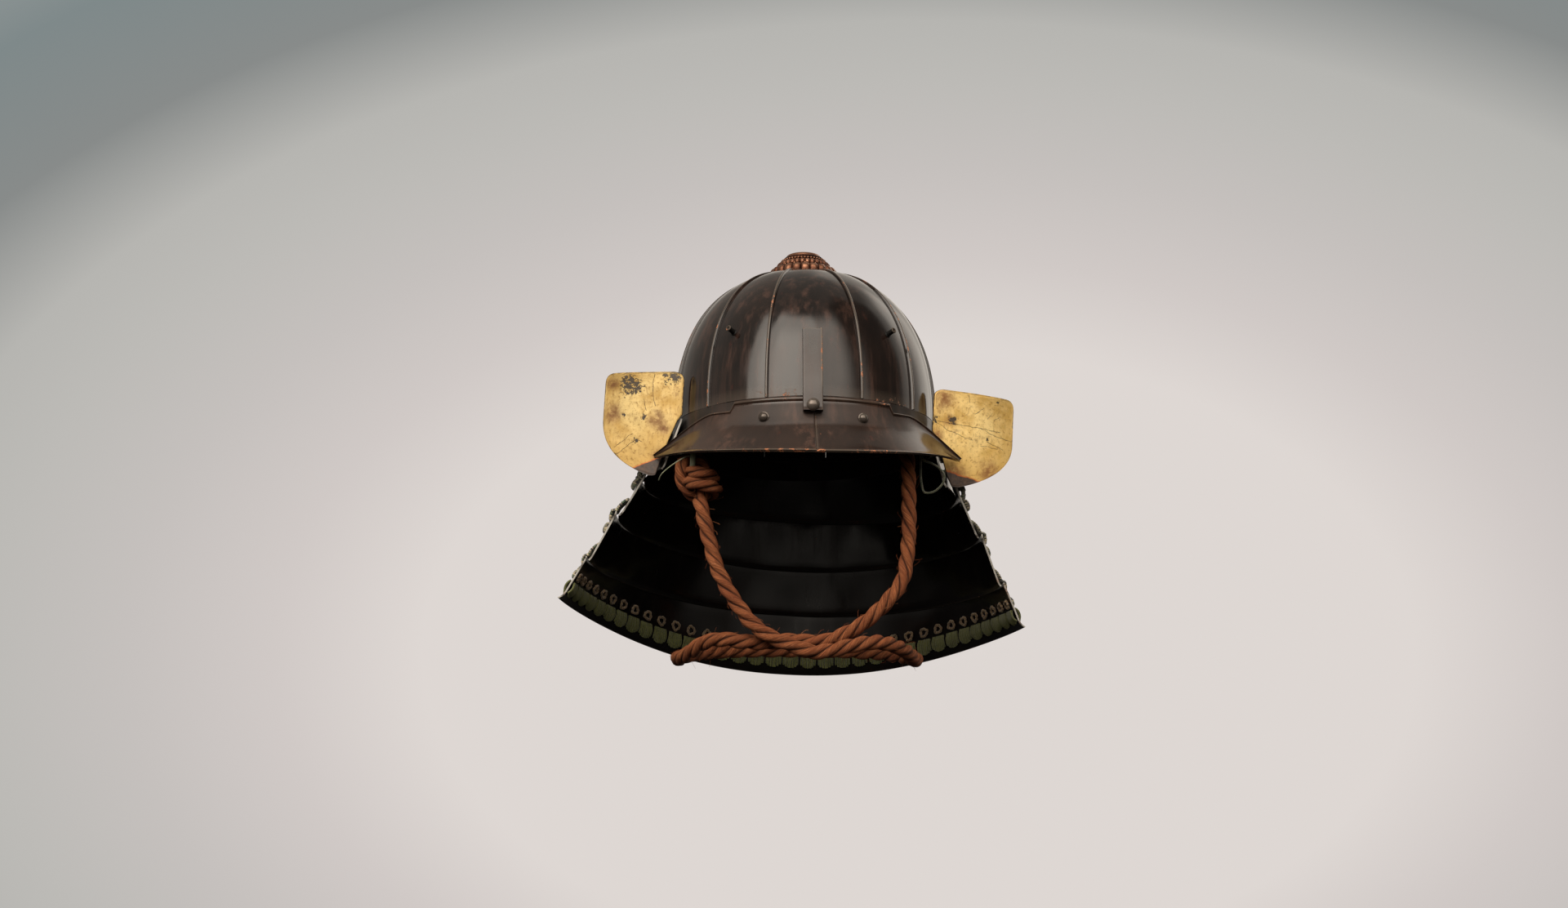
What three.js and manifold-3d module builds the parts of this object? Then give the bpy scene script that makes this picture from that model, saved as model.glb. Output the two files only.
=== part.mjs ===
// A kabuto: a Japanese samurai helmet of lacquered iron plates, with a peak, gilded turn-backs,
// a laced neck guard of four lames and a twisted rope as its chin cord.
//
// Millimetres, +Z up. The helmet faces -Y, and +X is on a viewer's right hand.
// The shapes are worked out about the bowl's own centre: the level of its lower edge, on its axis.
// The finished group is then lowered, so that the origin is the seat of the head inside the crown.
import * as THREE from "three";
import { mergeVertices } from "three/addons/utils/BufferGeometryUtils.js";
import Module from "manifold-3d";

// ---- Driving dimensions ----

const BOWL = {
  halfWidth: 115,
  halfLength: 136,
  height: 140,
  fullness: 2.35, // exponent of the profile: 2 is an ellipse, and more is fuller in the shoulder
  crownRadius: 22, // where the plates end, under the crown ornament
  wall: 1.6,
  lobe: 1.4, // how far each plate swells between its seams
  ribHeight: 2.3,
  ribWidth: 2.6,
};
const PLATE_COUNT = 12;
const FRONT_PLATE_ANGLE = 41; // degrees: the front plate is wider than the others
const SEAM_GAP = 0.35;

const BAND = { top: -0.35, bottom: -18, stepOut: 1.3, wall: 1.4 };

const PEAK = {
  sweep: 70, // degrees each side of the front, from the middle to a tip
  clear: 3.3, // between the bowl and the flange's outer face
  wall: 1.5,
  flangeTop: -1,
  flangeDrop: 24,
  hugs: 44, // degrees: past this the upper edge leaves the bowl and runs out to the tip
  tipOut: 24,
  tipForward: 8,
  tipZ: -39,
  tipHeight: 3,
  frontReach: 166,
  edgeCentreY: 0,
  edgeHalfWidth: 140.5,
  frontZ: -54,
  rivetTurn: 20.2, // degrees
};

const SOCKET = {
  x: -1,
  width: 17,
  depth: 5.2,
  wall: 1,
  bottomZ: -15,
  topZ: 59,
  frontY: -146.9,
  lean: 5, // degrees back from upright
  rivetUp: 5,
};
const STUD = { turn: 37.5, z: 62.5, radius: 2.7, washer: 5, length: 9 };

const CROWN_TIERS = [
  { name: "crown_petals_lower", radius: 30.5, low: 140.2, high: 147.2, inner: 21, petals: 22 },
  { name: "crown_petals_upper", radius: 23, low: 147.9, high: 152.6, inner: 12, petals: 20 },
];
const COLLAR = { radius: 19.2, hole: 7, low: 153.1, high: 160 };

// The four lames of the neck guard, from the top down. Each is a wall between two horseshoe
// edges. z is the edge's height, and dip is how much lower it hangs at the back.
const LAMES = [
  {
    name: "neck_lame_1",
    top: { halfWidth: 119.4, centreY: 0, back: 140.4, front: -56, roundness: 2, z: -9, dip: 0 },
    bottom: { halfWidth: 137.4, centreY: 10, back: 150, front: -56, roundness: 2.1, z: -55, dip: 0 },
  },
  {
    name: "neck_lame_2",
    top: { halfWidth: 140.5, centreY: 6, back: 153, front: -41, roundness: 2.1, z: -51, dip: 0 },
    bottom: { halfWidth: 158, centreY: -6, back: 158, front: -14, roundness: 2.1, z: -90, dip: 9 },
  },
  {
    name: "neck_lame_3",
    top: { halfWidth: 161, centreY: -8, back: 161.5, front: -14, roundness: 2.1, z: -86, dip: 8 },
    bottom: { halfWidth: 182.5, centreY: -17, back: 166, front: 6, roundness: 2.15, z: -128, dip: 11 },
  },
  {
    name: "neck_lame_4",
    top: { halfWidth: 185.5, centreY: -18, back: 169.5, front: 7, roundness: 2.15, z: -124, dip: 11 },
    bottom: { halfWidth: 210.4, centreY: -28, back: 174, front: 26, roundness: 2.2, z: -160, dip: 33 },
  },
];
const DIP_POWER = 3; // how late the dip begins, from the sides to the back
const LAME_WALL = 1.6;
const NECK_GUARD_ROLL = 3.1; // degrees: the neck guard hangs lower on the viewer's right

// A turn-back is a plate that stands on the front end of the top lame, folded outwards.
const TURNBACK = {
  wall: 1.5,
  inner: 108.5,
  topZ: 32,
  foldY: -57.5,
  sweepBack: 22, // degrees from facing straight ahead
  corner: 9,
};
const TURNBACK_SIDES = [
  { name: "turnback_left", side: -1, outer: 176.5, bottomZ: -60 },
  { name: "turnback_right", side: 1, outer: 182, bottomZ: -53 },
];

// The lacing: a column lies thin on a lame, and swells at a knot near its top and at a double
// lace near its foot. down is the place on the lame, from its top edge at 0 to its foot at 1.
const LACING = { columns: 11, width: 11, lift: 0.4, edgeInset: 0.03 };
const LACING_START = [
  { down: 0.64, thick: 1 },
  { down: 0.75, thick: 2.8 },
];
const LACING_ON_LAME = [
  { down: -0.03, thick: 1.2 },
  { down: 0.12, thick: 1.6 },
  { down: 0.2, thick: 4 },
  { down: 0.36, thick: 4 },
  { down: 0.45, thick: 1.2 },
  { down: 0.6, thick: 1.2 },
  { down: 0.72, thick: 3 },
];

// The chin cord: a rope from the knot at the left, under the chin, round behind the neck, back
// under the chin behind itself, and up to its whipped end inside the bowl at the right.
const CHIN_CORD = { radius: 6.6, sides: 9, steps: 40 };
const CHIN_CORD_ROUTE = [
  [-94, -84, -80.8],
  [-92, -88, -92],
  [-86.6, -92, -116],
  [-78.3, -97, -145],
  [-62, -103, -175],
  [-47.5, -107, -193],
  [-31, -110, -204],
  [-15.5, -111, -210],
  [0.5, -111, -215],
  [16, -110, -213.5],
  [33, -107, -209],
  [56, -96, -204],
  [70, -82, -204],
  [82, -64, -206],
  [91, -40, -208],
  [97, -10, -206],
  [92, 28, -198],
  [70, 58, -190],
  [38, 74, -186],
  [0, 79, -185],
  [-40, 73, -186],
  [-74, 56, -190],
  [-100, 26, -198],
  [-110, -8, -206],
  [-106, -38, -209],
  [-99, -54, -206],
  [-88, -70, -201],
  [-74, -82, -200.5],
  [-58, -90, -203.5],
  [-40, -94.5, -205],
  [-15, -95, -203],
  [8, -94.5, -204],
  [27, -95.5, -198],
  [46, -98, -187],
  [65, -99, -169],
  [78, -97, -150],
  [83.5, -92, -118],
  [84.8, -88, -85],
  [84.6, -84, -50],
  [83, -77, -31],
];
const WHIPPING = { radius: 8, length: 14 };

// The knot: an eye of the rope over the left tie loop, on a barrel of turns.
const KNOT_EYE = {
  radius: 5.9,
  centre: [-100.7, -84, -58],
  halfWidth: 10.3,
  halfHeight: 15.2,
  from: -12, // degrees, from the viewer's right over the top
  to: 255,
};
const KNOT_BARREL = { centre: [-92.5, -85, -67.2], halfWidth: 13.5, halfDepth: 14, halfHeight: 11.2 };

// The tie loops are braids that hang from the inside of the base band.
const TIE_LEFT = { radius: 2.2, sides: 8, steps: 20 };
const TIE_LEFT_ROUTE = [
  [-92.5, -61.5, -12],
  [-96.5, -76, -25],
  [-100.2, -92, -35],
  [-100.7, -94.6, -43],
  [-100.7, -91.6, -50.2],
  [-100.7, -84, -53.2],
  [-100.7, -76.4, -50.2],
  [-100, -73.4, -43],
  [-96.5, -71, -30],
  [-88, -68, -12],
];
const TIE_RIGHT = { radius: 1.4, sides: 8, steps: 26 };
const TIE_RIGHT_ROUTE = [
  [94.5, -66, -12],
  [95, -77, -26],
  [95, -88, -38],
  [97.5, -93, -45.5],
  [103.5, -93.5, -48],
  [110.5, -90.5, -51.5],
  [115.6, -87, -57.5],
  [114, -84.5, -64.5],
  [106.5, -82.5, -71],
  [99.5, -79, -71],
  [97, -75, -62],
  [97, -70, -40],
  [97, -62, -12],
];

const SEAT_Z = 122; // the crown of the head, under the lining

// ---- Materials ----

const finish = (color, roughness, metalness) =>
  new THREE.MeshStandardMaterial({ color, roughness, metalness });
const blackLacquer = finish(0x2a211e, 0.28, 0.1);
const rubbedLacquer = finish(0x3a2c26, 0.42, 0.1);
const agedCopper = finish(0x8a4a30, 0.38, 0.9);
const goldLeaf = finish(0xc79a45, 0.4, 0.8);
const navySilk = finish(0x161b33, 0.85, 0);
const rustHemp = finish(0xa75a37, 0.9, 0);
const greenBraid = finish(0x8f9a6c, 0.9, 0);
const variegatedSilk = finish(0x8b8d66, 0.85, 0);

// ---- Helpers ----

const radians = THREE.MathUtils.degToRad;
const lerp = THREE.MathUtils.lerp;
const point = (x, y, z) => new THREE.Vector3(x, y, z);
const stations = (count, from = 0, to = 1) =>
  Array.from({ length: count + 1 }, (_, i) => lerp(from, to, i / count));
const signedPower = (value, power) => Math.sign(value) * Math.abs(value) ** power;

const helmet = new THREE.Group();

function add(name, geometry, material, parent = helmet) {
  const mesh = new THREE.Mesh(geometry, material);
  mesh.name = name;
  parent.add(mesh);
  return mesh;
}

/** Turns the faces round if the closed geometry is inside out. */
function facingOut(geometry) {
  const p = geometry.getAttribute("position");
  const index = Array.from(geometry.index.array);
  const [a, b, c] = [point(), point(), point()];
  let volume = 0;
  for (let i = 0; i < index.length; i += 3) {
    a.fromBufferAttribute(p, index[i]);
    b.fromBufferAttribute(p, index[i + 1]);
    c.fromBufferAttribute(p, index[i + 2]);
    volume += a.dot(b.cross(c));
  }
  if (volume < 0) {
    for (let i = 0; i < index.length; i += 3) {
      [index[i + 1], index[i + 2]] = [index[i + 2], index[i + 1]];
    }
    geometry.setIndex(index);
  }
  geometry.computeVertexNormals();
  return geometry;
}

/**
 * The closed solid between two sheets of points, outer(u, v) and inner(u, v), at the stations us
 * and vs. A ring closes on itself in u, and its last station is left out by the caller.
 */
function betweenSheets(outer, inner, us, vs, ring = false) {
  const [rows, columns] = [vs.length, us.length];
  const points = [outer, inner].flatMap((sheet) => us.flatMap((u) => vs.map((v) => sheet(u, v))));
  const at = (side, i, j) => (side * columns + (i % columns)) * rows + j;
  const index = [];
  const quad = (a, b, c, d) => index.push(a, b, c, a, c, d);
  const spans = ring ? columns : columns - 1;
  for (let i = 0; i < spans; i++) {
    for (let j = 0; j < rows - 1; j++) {
      quad(at(0, i, j), at(0, i + 1, j), at(0, i + 1, j + 1), at(0, i, j + 1));
      quad(at(1, i, j), at(1, i, j + 1), at(1, i + 1, j + 1), at(1, i + 1, j));
    }
    quad(at(0, i, 0), at(1, i, 0), at(1, i + 1, 0), at(0, i + 1, 0));
    const end = rows - 1;
    quad(at(0, i, end), at(0, i + 1, end), at(1, i + 1, end), at(1, i, end));
  }
  if (!ring) {
    for (let j = 0; j < rows - 1; j++) {
      const last = columns - 1;
      quad(at(0, 0, j), at(0, 0, j + 1), at(1, 0, j + 1), at(1, 0, j));
      quad(at(0, last, j), at(1, last, j), at(1, last, j + 1), at(0, last, j + 1));
    }
  }
  const geometry = new THREE.BufferGeometry().setFromPoints(points);
  geometry.setIndex(index);
  return facingOut(geometry);
}

/** A solid of revolution about +Z from [radius, height] pairs that start and end on the axis. */
function turned(profile, segments) {
  const lathe = new THREE.LatheGeometry(
    profile.map(([r, z]) => new THREE.Vector2(r, z)),
    segments,
  );
  return lathe.rotateX(Math.PI / 2);
}

/** Stands a mesh on a point, with its own +Z along the given direction. */
function stand(mesh, where, direction) {
  mesh.position.copy(where);
  mesh.quaternion.setFromUnitVectors(point(0, 0, 1), direction.clone().normalize());
  return mesh;
}

/** A rope or braid of this radius through the points, with flat ends. */
function roundCord({ radius, sides, steps }, route) {
  const rim = stations(sides, 0, 2 * Math.PI).slice(0, -1);
  const section = new THREE.Shape(
    rim.map((angle) => new THREE.Vector2(radius * Math.cos(angle), radius * Math.sin(angle))),
  );
  const path = new THREE.CatmullRomCurve3(route.map((xyz) => point(...xyz)));
  return new THREE.ExtrudeGeometry(section, { steps, extrudePath: path, bevelEnabled: false });
}

const wasm = await Module();
wasm.setup();

/** A closed three.js geometry as a solid that can be joined or cut. */
function solid(geometry) {
  const bare = geometry.clone();
  bare.deleteAttribute("normal");
  bare.deleteAttribute("uv");
  const merged = mergeVertices(bare, 1e-4);
  return new wasm.Manifold(
    new wasm.Mesh({
      numProp: 3,
      vertProperties: Float32Array.from(merged.getAttribute("position").array),
      triVerts: Uint32Array.from(merged.index.array),
    }),
  );
}

/** A solid back as a three.js geometry. */
function geometryOf(joined) {
  const mesh = joined.getMesh();
  const geometry = new THREE.BufferGeometry();
  geometry.setAttribute("position", new THREE.BufferAttribute(mesh.vertProperties, 3));
  geometry.setIndex(new THREE.BufferAttribute(mesh.triVerts, 1));
  geometry.computeVertexNormals();
  return geometry;
}

const joined = (...geometries) =>
  geometryOf(geometries.map(solid).reduce((whole, next) => whole.add(next)));

// ---- Bowl ----

/** How wide the bowl still is at this rise, as a share of its width at the lower edge. */
const spreadAt = (rise) => Math.cos(rise) ** (2 / BOWL.fullness);

/**
 * A point of the bowl. turn is the angle from the front towards +X, and rise goes from 0 at the
 * lower edge to 90 degrees at the apex. out moves it off the surface along its normal.
 */
function bowlPoint(turn, rise, out = 0) {
  const spread = spreadAt(rise);
  const x = BOWL.halfWidth * spread * Math.sin(turn);
  const y = -BOWL.halfLength * spread * Math.cos(turn);
  const z = BOWL.height * Math.sin(rise) ** (2 / BOWL.fullness);
  const flat = spread ** (BOWL.fullness - 2);
  const normal = point(
    (flat * x) / BOWL.halfWidth ** 2,
    (flat * y) / BOWL.halfLength ** 2,
    z ** (BOWL.fullness - 1) / BOWL.height ** BOWL.fullness,
  ).normalize();
  return point(x, y, z).addScaledVector(normal, out);
}

/** The rise at which the bowl has this height. */
const riseAt = (z) => Math.asin((z / BOWL.height) ** (BOWL.fullness / 2));

/** How many radians of turn a length along the bowl takes, at this turn and rise. */
function turnOf(length, turn, rise) {
  const perTurn = Math.hypot(BOWL.halfWidth * Math.cos(turn), BOWL.halfLength * Math.sin(turn));
  return length / (spreadAt(rise) * perTurn);
}

const TOP_RISE = Math.acos((BOWL.crownRadius / BOWL.halfWidth) ** (BOWL.fullness / 2));

/** The seams' angles from the front, the front plate being the first. */
function seamAngles() {
  const half = radians(FRONT_PLATE_ANGLE / 2);
  const rest = (2 * Math.PI - 2 * half) / (PLATE_COUNT - 1);
  return Array.from({ length: PLATE_COUNT + 1 }, (_, i) => (i === 0 ? -half : half + rest * (i - 1)));
}

/** One plate: a thin wall whose first edge is turned up as a rib over the neighbour's edge. */
function plateGeometry(from, to) {
  const ribColumns = [
    { along: 0, lift: BOWL.ribHeight },
    { along: BOWL.ribWidth * 0.7, lift: BOWL.ribHeight },
    { along: BOWL.ribWidth, lift: 0 },
  ];
  const plainColumns = stations(3, 0.3, 1).map((share) => ({ share }));
  const columns = [...ribColumns, ...plainColumns];
  const place = (column, rise) => {
    if (column.share === undefined) {
      return from + turnOf(column.along, from, rise);
    }
    return lerp(from, to - turnOf(SEAM_GAP, to, rise), column.share);
  };
  const swell = (turn, rise) =>
    BOWL.lobe * spreadAt(rise) * Math.sin(Math.PI * ((turn - from) / (to - from)));
  const outer = (i, rise) => {
    const turn = place(columns[i], rise);
    const rib = (columns[i].lift ?? 0) * lerp(0.4, 1, spreadAt(rise));
    return bowlPoint(turn, rise, swell(turn, rise) + rib);
  };
  const inner = (i, rise) => {
    const turn = place(columns[i], rise);
    return bowlPoint(turn, rise, swell(turn, rise) - BOWL.wall);
  };
  const us = columns.map((_, i) => i);
  return betweenSheets(outer, inner, us, stations(7, 0.002, TOP_RISE));
}

function buildBowl() {
  const seams = seamAngles();
  for (let i = 0; i < PLATE_COUNT; i++) {
    const name = `bowl_plate_${String(i + 1).padStart(2, "0")}`;
    add(name, plateGeometry(seams[i], seams[i + 1]), blackLacquer);
  }
  const bandPoint = (turn, z, out) =>
    point((BOWL.halfWidth + out) * Math.sin(turn), -(BOWL.halfLength + out) * Math.cos(turn), z);
  const turns = stations(40, 0, 2 * Math.PI).slice(0, -1);
  const band = betweenSheets(
    (turn, z) => bandPoint(turn, z, BAND.stepOut),
    (turn, z) => bandPoint(turn, z, BAND.stepOut - BAND.wall),
    turns,
    [BAND.bottom, BAND.top],
    true,
  );
  add("bowl_base_band", band, rubbedLacquer);
}

// ---- Studs, rivets and crest socket ----

function buildStuds() {
  const profile = [
    [0, 0],
    [STUD.washer, 0],
    [STUD.washer, 1],
    [STUD.radius + 0.4, 1.6],
    [STUD.radius, STUD.length],
    [0, STUD.length + 0.6],
  ];
  const names = ["stud_front_left", "stud_front_right", "stud_back_right", "stud_back_left"];
  const turns = [-STUD.turn, STUD.turn, 180 - STUD.turn, STUD.turn - 180];
  names.forEach((name, i) => {
    const foot = bowlPoint(radians(turns[i]), riseAt(STUD.z), BOWL.lobe + 0.45);
    const above = bowlPoint(radians(turns[i]), riseAt(STUD.z), BOWL.lobe + 1.45);
    stand(add(name, turned(profile, 10), blackLacquer), foot, above.sub(foot));
  });
}

/** A domed rivet head of this radius. */
function rivetHead(radius) {
  const height = radius * 0.72;
  const arc = stations(4).map((t) => {
    const angle = (t * Math.PI) / 2;
    return [radius * Math.cos(angle), 0.8 + height * Math.sin(angle)];
  });
  return turned([[0, 0], [radius, 0], ...arc.slice(0, -1), [0, 0.8 + height]], 12);
}

function buildCrestSocket() {
  const half = SOCKET.width / 2;
  const section = new THREE.Shape([
    new THREE.Vector2(-half, 0),
    new THREE.Vector2(half, 0),
    new THREE.Vector2(half, SOCKET.depth),
    new THREE.Vector2(-half, SOCKET.depth),
  ]);
  section.holes.push(
    new THREE.Path([
      new THREE.Vector2(-half + SOCKET.wall, SOCKET.wall),
      new THREE.Vector2(-half + SOCKET.wall, SOCKET.depth - SOCKET.wall),
      new THREE.Vector2(half - SOCKET.wall, SOCKET.depth - SOCKET.wall),
      new THREE.Vector2(half - SOCKET.wall, SOCKET.wall),
    ]),
  );
  const length = SOCKET.topZ - SOCKET.bottomZ;
  const tube = new THREE.ExtrudeGeometry(section, { depth: length, bevelEnabled: false });
  const socket = add("crest_socket", tube, blackLacquer);
  socket.position.set(SOCKET.x, SOCKET.frontY, SOCKET.bottomZ);
  socket.rotation.x = radians(-SOCKET.lean);
  const rivet = add("rivet_centre", rivetHead(5.6), blackLacquer);
  const y = SOCKET.frontY + SOCKET.rivetUp * Math.sin(radians(SOCKET.lean)) - 0.35;
  const out = point(0, -Math.cos(radians(SOCKET.lean)), Math.sin(radians(SOCKET.lean)));
  stand(rivet, point(SOCKET.x, y, SOCKET.bottomZ + SOCKET.rivetUp), out);
}

// ---- Peak ----

/** The peak's upper edge: it follows the bowl in the middle, and runs out to the tips. */
function peakTop(side) {
  const turn = radians(PEAK.sweep) * side;
  const past = (Math.abs(side) * PEAK.sweep - PEAK.hugs) / (PEAK.sweep - PEAK.hugs);
  const leave = THREE.MathUtils.smoothstep(past, 0, 1.25) / THREE.MathUtils.smoothstep(1, 0, 1.25);
  const out = PEAK.clear + leave * PEAK.tipOut;
  return point(
    (BOWL.halfWidth + out) * Math.sin(turn),
    -(BOWL.halfLength + PEAK.clear) * Math.cos(turn) - leave * PEAK.tipForward,
    PEAK.flangeTop + leave * (PEAK.tipZ + PEAK.tipHeight - PEAK.flangeTop),
  );
}

/** The peak's lower, outer edge. */
function peakEdge(side) {
  const turn = radians(PEAK.sweep) * side;
  const share = (Math.sin(turn) / Math.sin(radians(PEAK.sweep))) ** 2;
  return point(
    PEAK.edgeHalfWidth * Math.sin(turn),
    PEAK.edgeCentreY - (PEAK.frontReach + PEAK.edgeCentreY) * Math.cos(turn),
    lerp(PEAK.frontZ, PEAK.tipZ, share),
  );
}

/** The section of the peak at one side position: down the bowl as a flange, then out. */
function peakSection(side) {
  const [top, edge] = [peakTop(side), peakEdge(side)];
  const narrow = 1 - Math.abs(side) ** 3;
  const flange = top.clone().add(point(0, 0, -PEAK.flangeDrop * narrow));
  const spring = edge.clone().lerp(flange, 0.55);
  spring.z += 4 * narrow;
  return new THREE.CubicBezierCurve3(top, flange, spring, edge);
}

function buildPeak() {
  const sides = stations(24, -1, 1);
  const sections = new Map(sides.map((side) => [side, peakSection(side)]));
  const outer = (side, v) => sections.get(side).getPoint(v);
  const inner = (side, v) => {
    const here = outer(side, v);
    const across = peakSection(side + 0.01).getPoint(v).sub(peakSection(side - 0.01).getPoint(v));
    const down = sections.get(side).getTangent(v);
    return here.addScaledVector(across.cross(down).normalize(), PEAK.wall);
  };
  add("peak", betweenSheets(outer, inner, sides, stations(5)), blackLacquer);
  const rivets = { rivet_left: -1, rivet_right: 1 };
  for (const [name, side] of Object.entries(rivets)) {
    const turn = radians(PEAK.rivetTurn) * side;
    const foot = peakSection((PEAK.rivetTurn / PEAK.sweep) * side).getPoint(0.3);
    const outward = point(Math.sin(turn), -Math.cos(turn), 0);
    stand(add(name, rivetHead(4.3), blackLacquer), foot.addScaledVector(outward, 1.7), outward);
  }
}

// ---- Crown ornament ----

/** A ring of petals: a fluted skirt that turns in over its own top. */
function petalTier(tier) {
  const perPetal = 2;
  const turns = stations(tier.petals * perPetal, 0, 2 * Math.PI).slice(0, -1);
  const flute = (turn) => 0.5 + 0.5 * Math.cos(tier.petals * turn);
  const depth = 1.3;
  const rows = [
    { radius: tier.radius, z: tier.low, fluted: 1 },
    { radius: tier.radius - 1.5, z: lerp(tier.low, tier.high, 0.7), fluted: 1 },
    { radius: tier.inner, z: tier.high, fluted: 0.25 },
  ];
  const at = (turn, i, inward) => {
    const row = rows[i];
    const radius = row.radius - depth * row.fluted * (1 - flute(turn)) - inward;
    return point(radius * Math.sin(turn), -radius * Math.cos(turn), row.z);
  };
  const outer = (turn, i) => at(turn, i, 0);
  const inner = (turn, i) => at(turn, i, i === 2 ? 0 : 1.6).add(point(0, 0, i === 2 ? -1.2 : 0));
  return betweenSheets(outer, inner, turns, [0, 1, 2], true);
}

function buildCrown() {
  for (const tier of CROWN_TIERS) {
    add(tier.name, petalTier(tier), agedCopper);
  }
  const { radius, hole, low, high } = COLLAR;
  const profile = [
    [hole, low],
    [radius, low],
    [radius, low + 1.2],
    [radius - 2.4, low + 2],
    [radius - 3.6, low + 3.4],
    [radius - 5.6, high - 1.2],
    [radius - 8.4, high],
    [hole + 1, high],
    [hole, high - 1],
    [hole, low],
  ];
  add("crown_collar", turned(profile, 28), agedCopper);
}

// ---- Neck guard ----

/** An edge of a lame seen from above: a horseshoe, open at the front. */
class Horseshoe extends THREE.Curve {
  constructor(edge) {
    super();
    this.edge = edge;
    this.depth = edge.back - edge.centreY;
    const forward = (edge.centreY - edge.front) / this.depth;
    this.span = Math.PI / 2 + Math.asin(signedPower(forward, edge.roundness / 2));
  }
  getPoint(t) {
    const { halfWidth, centreY, roundness, z, dip } = this.edge;
    const angle = lerp(-this.span, this.span, t);
    const power = 2 / roundness;
    const backward = signedPower(Math.cos(angle), power);
    return point(
      halfWidth * signedPower(Math.sin(angle), power),
      centreY + this.depth * backward,
      z - dip * Math.max(0, backward) ** DIP_POWER,
    );
  }
}

const lameEdges = LAMES.map(({ top, bottom }) => ({
  top: new Horseshoe(top),
  bottom: new Horseshoe(bottom),
}));

/** A point of a lame's outer face, off it by out. along runs from one front end to the other. */
function lamePoint(lame, along, down, out = 0) {
  const { top, bottom } = lameEdges[lame];
  const place = (a) => top.getPointAt(a).lerp(bottom.getPointAt(a), down);
  const here = place(along);
  if (out === 0) {
    return here;
  }
  const step = 0.004;
  const sideways = place(Math.min(1, along + step)).sub(place(Math.max(0, along - step)));
  const downwards = bottom.getPointAt(along).sub(top.getPointAt(along));
  return here.addScaledVector(sideways.cross(downwards).normalize(), out);
}

function buildLames(parent) {
  LAMES.forEach(({ name }, lame) => {
    const outer = (along, down) => lamePoint(lame, along, down);
    const inner = (along, down) => lamePoint(lame, along, down, -LAME_WALL);
    add(name, betweenSheets(outer, inner, stations(30), stations(2)), blackLacquer, parent);
  });
}

/** The outline of a turn-back: x runs outwards from the fold and y runs up. */
function turnbackOutline(outer, bottomZ) {
  const { corner, topZ } = TURNBACK;
  const width = (outer - TURNBACK.inner) / Math.cos(radians(TURNBACK.sweepBack));
  const shape = new THREE.Shape();
  shape.moveTo(0, -6);
  shape.lineTo(0, topZ - corner);
  shape.quadraticCurveTo(0, topZ - 1, corner, topZ);
  shape.lineTo(width - corner, topZ);
  shape.quadraticCurveTo(width, topZ, width, topZ - corner);
  shape.lineTo(width, -9);
  shape.bezierCurveTo(width, bottomZ + 26, width - 19, bottomZ + 10, 27, bottomZ);
  shape.lineTo(21, bottomZ);
  shape.lineTo(16, -44);
  shape.lineTo(10.5, -28);
  shape.lineTo(4, -12);
  shape.closePath();
  return shape;
}

function buildTurnbacks(parent) {
  for (const { name, side, outer, bottomZ } of TURNBACK_SIDES) {
    const plate = new THREE.ExtrudeGeometry(turnbackOutline(outer, bottomZ), {
      depth: TURNBACK.wall,
      bevelEnabled: false,
      curveSegments: 6,
    });
    plate.rotateX(Math.PI / 2);
    plate.scale(side, 1, 1);
    plate.setIndex(stations(plate.getAttribute("position").count - 1, 0, 1).map((_, i) => i));
    const wing = add(name, facingOut(plate), goldLeaf, parent);
    wing.position.set(side * TURNBACK.inner, TURNBACK.foldY, 0);
    wing.rotation.z = side * radians(TURNBACK.sweepBack);
  }
}

/** A column of lacing from the top lame to the lowest, over each lame's top edge. */
function lacingColumn(along) {
  const onLames = [1, 2, 3].flatMap((lame) => LACING_ON_LAME.map((stop) => ({ lame, ...stop })));
  const stops = [...LACING_START.map((stop) => ({ lame: 0, ...stop })), ...onLames];
  const half = LACING.width / 2;
  const sheet = (offset, i, out) => {
    const { lame, down } = stops[i];
    return lamePoint(lame, along + offset / lameEdges[lame].bottom.getLength(), down, out);
  };
  const outer = (offset, i) => sheet(offset, i, LACING.lift + stops[i].thick);
  const inner = (offset, i) => sheet(offset, i, LACING.lift);
  return betweenSheets(outer, inner, [-half, half], stops.map((_, i) => i));
}

function buildLacing(parent) {
  for (let i = 0; i < LACING.columns; i++) {
    const along = lerp(LACING.edgeInset, 1 - LACING.edgeInset, i / (LACING.columns - 1));
    const name = `lacing_${String(i + 1).padStart(2, "0")}`;
    const silk = i === 0 || i === LACING.columns - 1 ? variegatedSilk : navySilk;
    add(name, lacingColumn(along), silk, parent);
  }
}

// ---- Cords ----

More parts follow.
